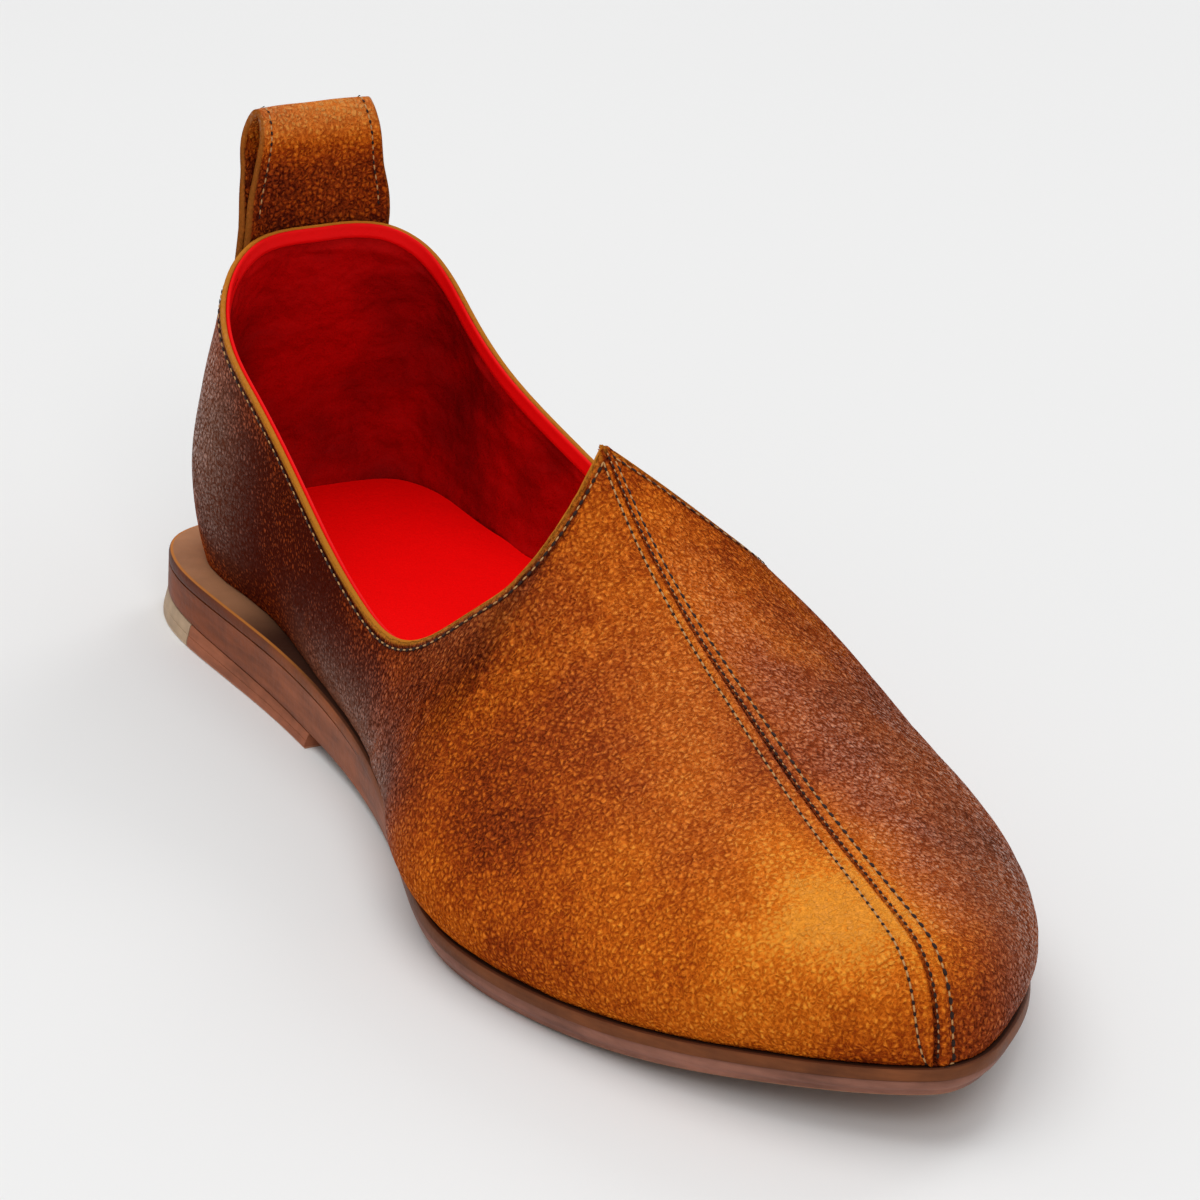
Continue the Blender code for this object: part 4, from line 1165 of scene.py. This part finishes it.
def from_back(y):
    """Distance from the back of the heel, for a y of the frame."""
    return SOLE_LENGTH / 2 - (y - ORIGIN[1])


def sock_height(along):
    thinning = np.clip((share_of(along) - 0.25) / 0.35, 0, 1)
    return seat_height(along) + INSOLE_HEEL + (INSOLE_FRONT - INSOLE_HEEL) * thinning


def sock_edge(side, lift):
    """Where the lining passes the sock's top, or a height below it, from the back to the toe."""
    lined = LINED[side][: LINING_END - 4]
    over = lined[..., 2] - (sock_height(from_back(lined[..., 1])) + lift)
    found = []
    for line, above in zip(lined, over):
        up = int(np.argmax(above > 0))
        part = above[up - 1] / (above[up - 1] - above[up]) if up else 0.0
        found.append(line[up - 1] * (1 - part) + line[up] * part if up else line[0])
    return np.array(found)


def sock_level(lift, inside):
    """Both sides of the sock at a height from its top, inside the lining by a distance."""
    edges = {side: sock_edge(side, lift) for side in HALVES}
    back = min(edge[:, 1].max() for edge in edges.values()) - inside
    front = max(edge[:, 1].min() for edge in edges.values())
    y = stations(back, front, 110)
    both = []
    for side, edge in edges.items():
        found = edge[np.argsort(edge[:, 1])]
        x = np.interp(y, found[:, 1], found[:, 0]) - side * inside
        x = side * np.maximum(side * x, 0)
        both.append(np.column_stack([x, y, sock_height(from_back(y)) + lift]))
    return both


sock_levels = [sock_level(lift * MM, inside * MM) for lift, inside in SOCK_LEVELS]
sock = slab("red_sock", sock_levels, (1.0, 1.0, 0.0), sock_red.material, across=40)
for vert in sock.data.vertices:
    if vert.co.z > sock_height(from_back(vert.co.y)) - SOCK_TOP:
        vert.co.z -= SOCK_DISH * (1 - min(abs(vert.co.x) / SOCK_HALF_WIDTH, 1.0) ** 2)
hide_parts("insole")

# %% [markdown]
# ## The sole
#
# From the top: a thin welt-like midsole, the leather outsole, and under the heel a low lift with a
# pale piece at its back. Their edges were trimmed together, sanded, stained and burnished with wax,
# so the layers only show as fine lines. Round the heel the midsole's top is an open shelf of natural
# leather; in front of the heel its top and trimmed corner are painted nearly black, a painted shadow
# of the gap under the upper's edge. At the forefoot the outsole's edge is rounder, and paler pinkish
# grey: its brown with a painted reflection of the pale floor.

# %% The sole's finishes
DARK_STAIN = (0.030, 0.010, 0.006)


def edge_leather(name, side, flat, line, wood=0.30):
    """Leather seen on its cut edge. side is that edge's colour at the heel, the waist and the
    forefoot, flat the flat faces' and line the trimmed corner's at the heel and the forefoot."""
    hide = Finish(name, Specular_IOR_Level=0.10)
    stretched = hide.node("ShaderNodeMapping", {"Vector": hide.place, "Scale": (45.0, 45.0, 420.0)})
    streaks = hide.noise(1.0, 4.0, 0.65, at=stretched.outputs[0]).between(0.30, 0.70)
    blotches = hide.noise(60.0, 4.0, 0.6).between(0.32, 0.68)
    fore, edge = hide.attribute("fore"), hide.attribute("edge")
    heel_to_waist = hide.mix(fore.between(0.10, 0.36), side[0], side[1])
    side = hide.mix(fore.between(0.40, 0.60), heel_to_waist, side[2])
    side = hide.mix((1 - streaks) * wood + (1 - blotches) * 0.36, side, DARK_STAIN)
    flat = hide.mix(fore.between(0.13, 0.24), *flat)
    flat = hide.mix((1 - blotches) * 0.30, flat, DARK_STAIN)
    line = hide.mix(fore.between(0.22, 0.34), *line)
    corner = edge.between(0.15, 0.45) * (1 - edge.between(0.80, 0.95))
    hide.feed(Base_Color=hide.mix(corner, hide.mix(edge.between(0.40, 0.80), flat, side), line))
    hide.feed(Roughness=0.60 - edge * 0.16 + blotches * 0.10)
    hide.bump(streaks * wood + hide.noise(700.0) + blotches * 0.6, 0.00010)
    return hide.material


welt_finish = edge_leather(
    "welt",
    side=((0.16, 0.032, 0.009), (0.36, 0.100, 0.032), (0.24, 0.075, 0.026)),
    # in front of the heel the flat face and the trimmed corner are nearly black: painted shadow of the gap
    # under the upper's edge
    flat=((0.44, 0.200, 0.098), (0.050, 0.016, 0.008)),
    line=((0.50, 0.170, 0.030), (0.11, 0.034, 0.014)),
)
sole_finish = edge_leather(
    "sole_leather",
    # the forefoot's pale pinkish-grey edge is the brown edge with a painted reflection of the pale floor
    side=((0.28, 0.070, 0.025), (0.40, 0.125, 0.058), (0.40, 0.170, 0.115)),
    flat=((0.34, 0.17, 0.09),) * 2,
    line=((0.34, 0.15, 0.08),) * 2,
)
lift_finish = edge_leather(
    "lift",
    side=((0.42, 0.135, 0.066),) * 3,
    flat=((0.30, 0.14, 0.07),) * 2,
    line=((0.46, 0.20, 0.12),) * 2,
)
tip_finish = edge_leather(
    "tip",
    side=((0.56, 0.390, 0.250),) * 3,
    flat=((0.48, 0.34, 0.22),) * 2,
    line=((0.60, 0.44, 0.30),) * 2,
    wood=0.10,
)
print("sole finishes", [f.name for f in (welt_finish, sole_finish, lift_finish, tip_finish)])

# %% The midsole and its shelf
# inset and depth below the seat in mm, and the shade of the edge
WELT_ROWS = ((0.10, 2.40, 1), (0.0, 2.25, 1), (0.0, 1.70, 1), (0.0, 0.95, 1))
WELT_ROWS += ((0.12, 0.45, 1), (0.30, 0.14, 0.9), (0.70, 0.0, 0.5), (1.15, 0.0, 0.0))


def welt_level(into, down):
    return ring_sides(into * MM, lambda along: seat_height(along) - down * MM, steps=220)


levels = [welt_level(into, down) for into, down, _ in WELT_ROWS]
midsole = slab("welt_midsole", levels, [row[2] for row in WELT_ROWS], welt_finish)
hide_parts("midsole")

# %% The outsole
# share of the round lower edge, share of the side above it, and the shade of the edge
OUTSOLE_ROWS = ((0, 0.0, 0.0), (0.3, 0.0, 0.5), (0.65, 0.0, 1), (1, 0.0, 1), (1, 0.2, 1), (1, 0.4, 1))
OUTSOLE_ROWS += ((1, 0.6, 1), (1, 0.8, 1), (1, 0.93, 1), (1, 1.0, 1))
OUTSOLE_SWELL = 0.65 * MM
HEEL_ROUNDNESS = 0.2


def outsole_level(turn, part):
    """A level of the outsole, whose edge is square at the heel and round at the forefoot."""
    round_in = EDGE_ROUND * (1 - math.sin(turn * math.pi / 2))
    rise = EDGE_ROUND * (1 - math.cos(turn * math.pi / 2))
    swell = OUTSOLE_SWELL * math.sin(math.pi * part)
    step = OUTSOLE_STEP + OUTSOLE_TAPER * (1 - part)

    def roundness(along):
        return HEEL_ROUNDNESS + (1 - HEEL_ROUNDNESS) * forepart(along)

    def distance(along):
        return round_in * roundness(along) + (step - swell) * forepart(along)

    def height(along):
        top = seat_height(along) - MIDSOLE_THICKNESS - GAP
        low = tread_height(along) + rise * roundness(along)
        return low + (top - low) * part

    return ring_sides(distance, height, steps=240)


levels = [outsole_level(turn, part) for turn, part, _ in OUTSOLE_ROWS]
outsole = slab("outsole_leather", levels, [row[2] for row in OUTSOLE_ROWS], sole_finish)
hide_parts("outsole")

# %% The heel lift and its pale tip
# inset in mm, share of the height and the shade of the edge; a fine groove runs half way up
LIFT_ROWS = ((0.62, 0.0, 0.0), (0.30, 0.04, 0.6), (0.10, 0.16, 1), (0.0, 0.32, 1), (0.0, 0.50, 1))
LIFT_ROWS += ((0.14, 0.53, 1), (0.0, 0.56, 1), (0.0, 0.92, 1), (0.18, 1.0, 1))


def lift_slab(name, start, end, material):
    levels = []
    for into, share, _ in LIFT_ROWS:
        distance = into * MM - HEEL_FLARE * (1 - share)
        levels.append(ring_sides(distance, lambda y: (tread_height(y) - GAP) * share, start, end, 60))
    return slab(name, levels, [row[2] for row in LIFT_ROWS], material)


lift = lift_slab("heel_lift_leather", TIP_LENGTH + GAP, HEEL_BREAST, lift_finish)
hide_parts("heel_lift")
tip = lift_slab("heel_tip_rubber", None, TIP_LENGTH, tip_finish)
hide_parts("heel_tip")

# %% [markdown]
# ## The heel strap and its pull loop
#
# One strip of leather runs up the back of the heel from the sole, over into a loop that a finger
# can pull, and down again behind the collar, where it is stitched through. It is two directions at
# each place: along the last at the back, and outwards from it. Above the collar it is free, and its
# side view is a teardrop drawn with nine points.

# %% The strap's sizes
STRAP_THICKNESS = 1.5 * MM
LOOP_WIDTH = 26.0 * MM
STRAP_WIDTH_COLLAR = 33.5 * MM
STRAP_WIDTH_SOLE = 44.0 * MM
LOOP_HEIGHT = 25.8 * MM
LOOP_DEPTH = 9.8 * MM
LOOP_LEAN = 4.2 * MM
LOOP_TAIL = 10.0 * MM
STRAP_NARROWS_TO = 0.625
STRAP_LAPS = 3
LOOP_FLAT = 0.35
RIB_LOOK = 0.02
STRAP_ROWS = 56
LOOP_ROWS = 72
TAIL_ROWS = 10
LOOP_SIDE_ROWS = (
    ("outer", 0.00, 0.00),
    ("outer", 0.20, 0.25),
    ("lean", 0.95, 0.60),
    ("lean", 0.90, 0.84),
    ("lean", 0.00, 1.00),
    ("lean", -0.90, 0.84),
    ("lean", -0.95, 0.60),
    ("inner", -0.10, 0.25),
    ("inner", 0.00, 0.00),
)
INNER_LEAF = GAP + STRAP_THICKNESS / 2
OUTER_LEAF = INNER_LEAF + STRAP_THICKNESS + GAP
BACKWARD = -AHEAD
print("strap", STRAP_WIDTH_SOLE, "to", LOOP_WIDTH)


# %% The strap's path
def strap_point(half, across, v, stand_off):
    """A point on the strap and its level outward direction."""
    t = np.linspace(0, STRAP_WIDTH_SOLE, 60)
    here = np.interp(across, lengths_along(half.surface(t, np.full(60, v))), t)
    step = STRAP_WIDTH_SOLE / 60
    spots = half.surface(np.array([max(here - step, 0), here, here + step]), np.full(3, v))
    along = spots[2] - spots[0]
    out = unit(np.array([along[1], -along[0], 0.0]) * half.side)
    out = BACKWARD if across < MERGE else out
    above, below = half.surface(np.full(2, here), np.array([min(v + RIB_LOOK, 1), max(v - RIB_LOOK, 0)]))
    up = above - below
    return spots[1] + out * stand_off * np.hypot(up @ out, up[2]) / up[2], out


def loop_path():
    """The loop from the side: distance behind the collar and height over it."""
    half = (LOOP_DEPTH - STRAP_THICKNESS) / 2
    tall = LOOP_HEIGHT - STRAP_THICKNESS / 2
    places = {"outer": OUTER_LEAF, "lean": LOOP_LEAN, "inner": INNER_LEAF}
    knots = np.array([(places[name] + behind * half, up * tall) for name, behind, up in LOOP_SIDE_ROWS])
    chord = lengths_along(knots, 0.5)
    return spline(chord, knots, np.linspace(0, chord[-1], LOOP_ROWS + 1))


def strap_column(c):
    """Points of the strap at c, which is -1 on its medial edge and 1 on its lateral edge."""
    half = HALVES[-1 if c < 0 else 1]
    tail = LOOP_TAIL / (HEIGHTS["back"] - HEEL_HEIGHT)
    column = []
    for v in np.linspace(0.004, 1, STRAP_ROWS + 1)[:-1]:
        width = STRAP_WIDTH_SOLE + (STRAP_WIDTH_COLLAR - STRAP_WIDTH_SOLE) * min(1.0, v / STRAP_NARROWS_TO)
        off = INNER_LEAF + (OUTER_LEAF - INNER_LEAF) * ease((v - (1 - STRAP_LAPS * tail)) / tail)
        column.append(strap_point(half, abs(c) * width / 2, v, off)[0])
    base, out = strap_point(half, abs(c) * STRAP_WIDTH_COLLAR / 2, 1.0, 0.0)
    middle = strap_point(half, 0.0, 1.0, 0.0)[0]
    for back, up in loop_path():
        free = ease(up / LOOP_HEIGHT * 2)
        width = STRAP_WIDTH_COLLAR + (LOOP_WIDTH - STRAP_WIDTH_COLLAR) * np.clip(up / LOOP_HEIGHT, 0, 1)
        flat = np.array([c * width / 2, middle[1] + (base[1] - middle[1]) * LOOP_FLAT, middle[2]])
        heading = out * (1 - free) + BACKWARD * free
        column.append(base * (1 - free) + flat * free + heading * back + UPWARD * up)
    for v in np.linspace(1, 1 - tail, TAIL_ROWS + 1)[1:]:
        column.append(strap_point(half, abs(c) * STRAP_WIDTH_COLLAR / 2, v, INNER_LEAF)[0])
    return column


strap_shares = np.concatenate([[-1, -0.965], np.linspace(-0.92, 0.92, 23), [0.965, 1]])
STRAP = place(np.array([strap_column(c) for c in strap_shares]))
print("strap grid", STRAP.shape)

# %% The strap
STRAP_HIDE = milled_leather("strap_hide", (0.26, 0.080, 0.012))


def strap_leather():
    """The strap, which is dark and dull at the bottom, lighter amber towards the loop's top, partly its
    own tone and partly a painted highlight from the light above, and glossy on its top, with a painted
    sheen mixed into its colour there.
    """
    work = leather_mesh()
    corners = sheet_into(work, STRAP)
    x, y, z = np.moveaxis(STRAP, -1, 0)
    to_side = np.abs(1 - np.abs(strap_shares))[:, None] * 15 * MM + 0 * x
    facts = leather_facts(STRAP, x, z, to_side)
    facts["rim"] = np.clip(1 - to_side / (0.4 * MM), 0, 1)
    # lighter towards the loop's top: partly the strap's own tone, partly a painted highlight from the light
    # above; the gloss on top also brings the painted sheen colour
    facts["shade"] = 0.60 - 0.60 * ease((z - 96 * MM) / (14 * MM))
    facts["gloss_and_sheen"] = 0.06 + 0.6 * ease((z - 104 * MM) / (7 * MM))
    keep_facts(work, corners, facts)
    return finished("heel_strap_leather", work, STRAP_HIDE, wall=STRAP_THICKNESS, offset=0)


strap = strap_leather()
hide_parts("heel_strap")

# %% [markdown]
# ## Stitches
#
# A stitch is a short piece of thick waxed thread that dips into a hole at each end. Each is a small
# stretched ball laid on the leather along the row, and each hole is a flat dark one between two
# stitches: painted shade that stands in for the shadow inside the hole. They are joined into one mesh
# for each colour, because hundreds of separate objects would be slow and clumsy to keep.

# %% Rows of stitches
# in mm: the pitch, then the length, width, height and place above the leather of a stitch and of
# a hole's dark ball of painted shade, and the bare lengths at the row's start and end
TOPLINE_SEWING = (2.5, (1.20, 0.40, 0.34, 0.04), (1.30, 0.74, 0.24, 0.08), 2.0, 2.0)
ROW_SEWING = {
    -1: (2.1, (1.55, 0.46, 0.40, 0.08), (0.85, 0.66, 0.22, 0.10), 1.5, 3.0),
    1: (2.6, (1.20, 0.50, 0.40, 0.08), (1.45, 0.98, 0.26, 0.14), 1.5, 3.0),
}
SEAM_SEWING = (1.9, (0.70, 0.36, 0.24, 0.04), (1.05, 0.80, 0.24, 0.14), 1.0, 3.0)
STRAP_SEWING = (2.3, (1.20, 0.40, 0.32, 0.05), (0.95, 0.54, 0.16, 0.03), 2.0, 3.0)
STRAP_ROW_SHARE = 0.85
SEAM_HOLES_AT = 0.45 * MM
LOOK_ALONG = 0.3 * MM
THREAD = Finish("waxed_thread", Base_Color=(0.50, 0.27, 0.10), Roughness=0.6, Specular_IOR_Level=0.3)
# the holes are dark balls of painted shade, for the shadow inside each stitch hole
HOLE_SHADE = Finish("stitch_hole_shade", Base_Color=(0.020, 0.006, 0.003), Roughness=0.8, Specular_IOR_Level=0.3)


def spaced(row, way, pitch, start, end):
    """Places, directions and outward directions at even steps along a row."""
    along = lengths_along(row)
    total = along[-1]
    count = max(2, int(round((total - start - end) / pitch)))
    places = start + (np.arange(count) + 0.5) * (total - start - end) / count
    ahead = unit(at_lengths(row, places + LOOK_ALONG) - at_lengths(row, places - LOOK_ALONG))
    return at_lengths(row, places), ahead, unit(read_at(places, along, way))


def ball_at(work, at, ahead, out, long, wide, tall, sides):
    """One stretched ball: long ahead, wide across and tall outwards."""
    over = np.cross(out, ahead)
    over /= np.linalg.norm(over)
    ahead = np.cross(over, out)
    turn = Matrix((over * wide / 2, out * tall / 2, ahead * long / 2)).transposed().to_4x4()
    where = Matrix.Translation(at) @ turn
    bmesh.ops.create_uvsphere(work, u_segments=sides, v_segments=4, radius=1.0, matrix=where)


def sewn_row(work, places, size, shift, sides):
    """Adds a row's balls to a piece. A small bmesh for each row keeps the operators quick."""
    balls = bmesh.new()
    long, wide, tall, lies = [value * MM for value in size]
    for at, go, up in zip(*places):
        ball_at(balls, at + go * shift + up * lies, go, up, long, wide, tall, sides)
    mesh = bpy.data.meshes.new("row")
    balls.to_mesh(mesh)
    balls.free()
    work.from_mesh(mesh)
    bpy.data.meshes.remove(mesh)


def sewn(name, rows):
    """The stitches and the holes of some rows: a stitch in the middle of each step, and a hole
    between two, drawn as a flat dark ball of painted shade."""
    threads, hole_shades = bmesh.new(), bmesh.new()
    for row, way, (pitch, thread_size, hole_size, start, end) in rows:
        places = spaced(row, way, pitch * MM, start * MM, end * MM)
        sewn_row(threads, places, thread_size, 0.0, 6)
        sewn_row(hole_shades, places, hole_size, 0.5 * pitch * MM, 8)
    return (
        finished(name + "_stitches", threads, THREAD.material),
        finished(name + "_stitch_hole_shade", hole_shades, HOLE_SHADE.material),
    )


def seam_row(side, distance):
    """Points and outward directions on the worked leather, a distance from the seam."""
    to_edge = -TO_EDGE[side][SEAM_PART]
    distance = np.broadcast_to(distance, len(to_edge))
    row, way = [
        np.array([read_at(-d, edge, line) for line, edge, d in zip(sheet[SEAM_PART], to_edge, distance)])
        for sheet in (WORKED[side], OUT[side])
    ]
    return row, unit(way)


def strap_rows():
    """Rows along both edges of the strap, on its outer face, without the tail behind the collar."""
    out = unit(np.cross(np.gradient(STRAP, axis=0), np.gradient(STRAP, axis=1)))
    out *= np.sign(out[len(out) // 2, STRAP_ROWS // 2, 1])
    face = STRAP + out * STRAP_THICKNESS / 2
    for share in (-STRAP_ROW_SHARE, STRAP_ROW_SHARE):
        row, way = [
            np.array([read_at(share, strap_shares, sheet[:, j]) for j in range(STRAP.shape[1] - TAIL_ROWS)])
            for sheet in (face, out)
        ]
        yield row, unit(way), STRAP_SEWING


upper_rows = [(RIM_EDGE - RIM_OVER * TOPLINE_ROW - RIM_INTO * 0.02 * MM, -RIM_INTO, TOPLINE_SEWING)]
upper_rows += [(*seam_row(side, seam_row_distance(side)), ROW_SEWING[side]) for side in HALVES]
upper_rows += [(*seam_row(1, SEAM_HOLES_AT), SEAM_SEWING)]
for piece in sewn("upper", upper_rows):
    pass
for piece in sewn("strap", strap_rows()):
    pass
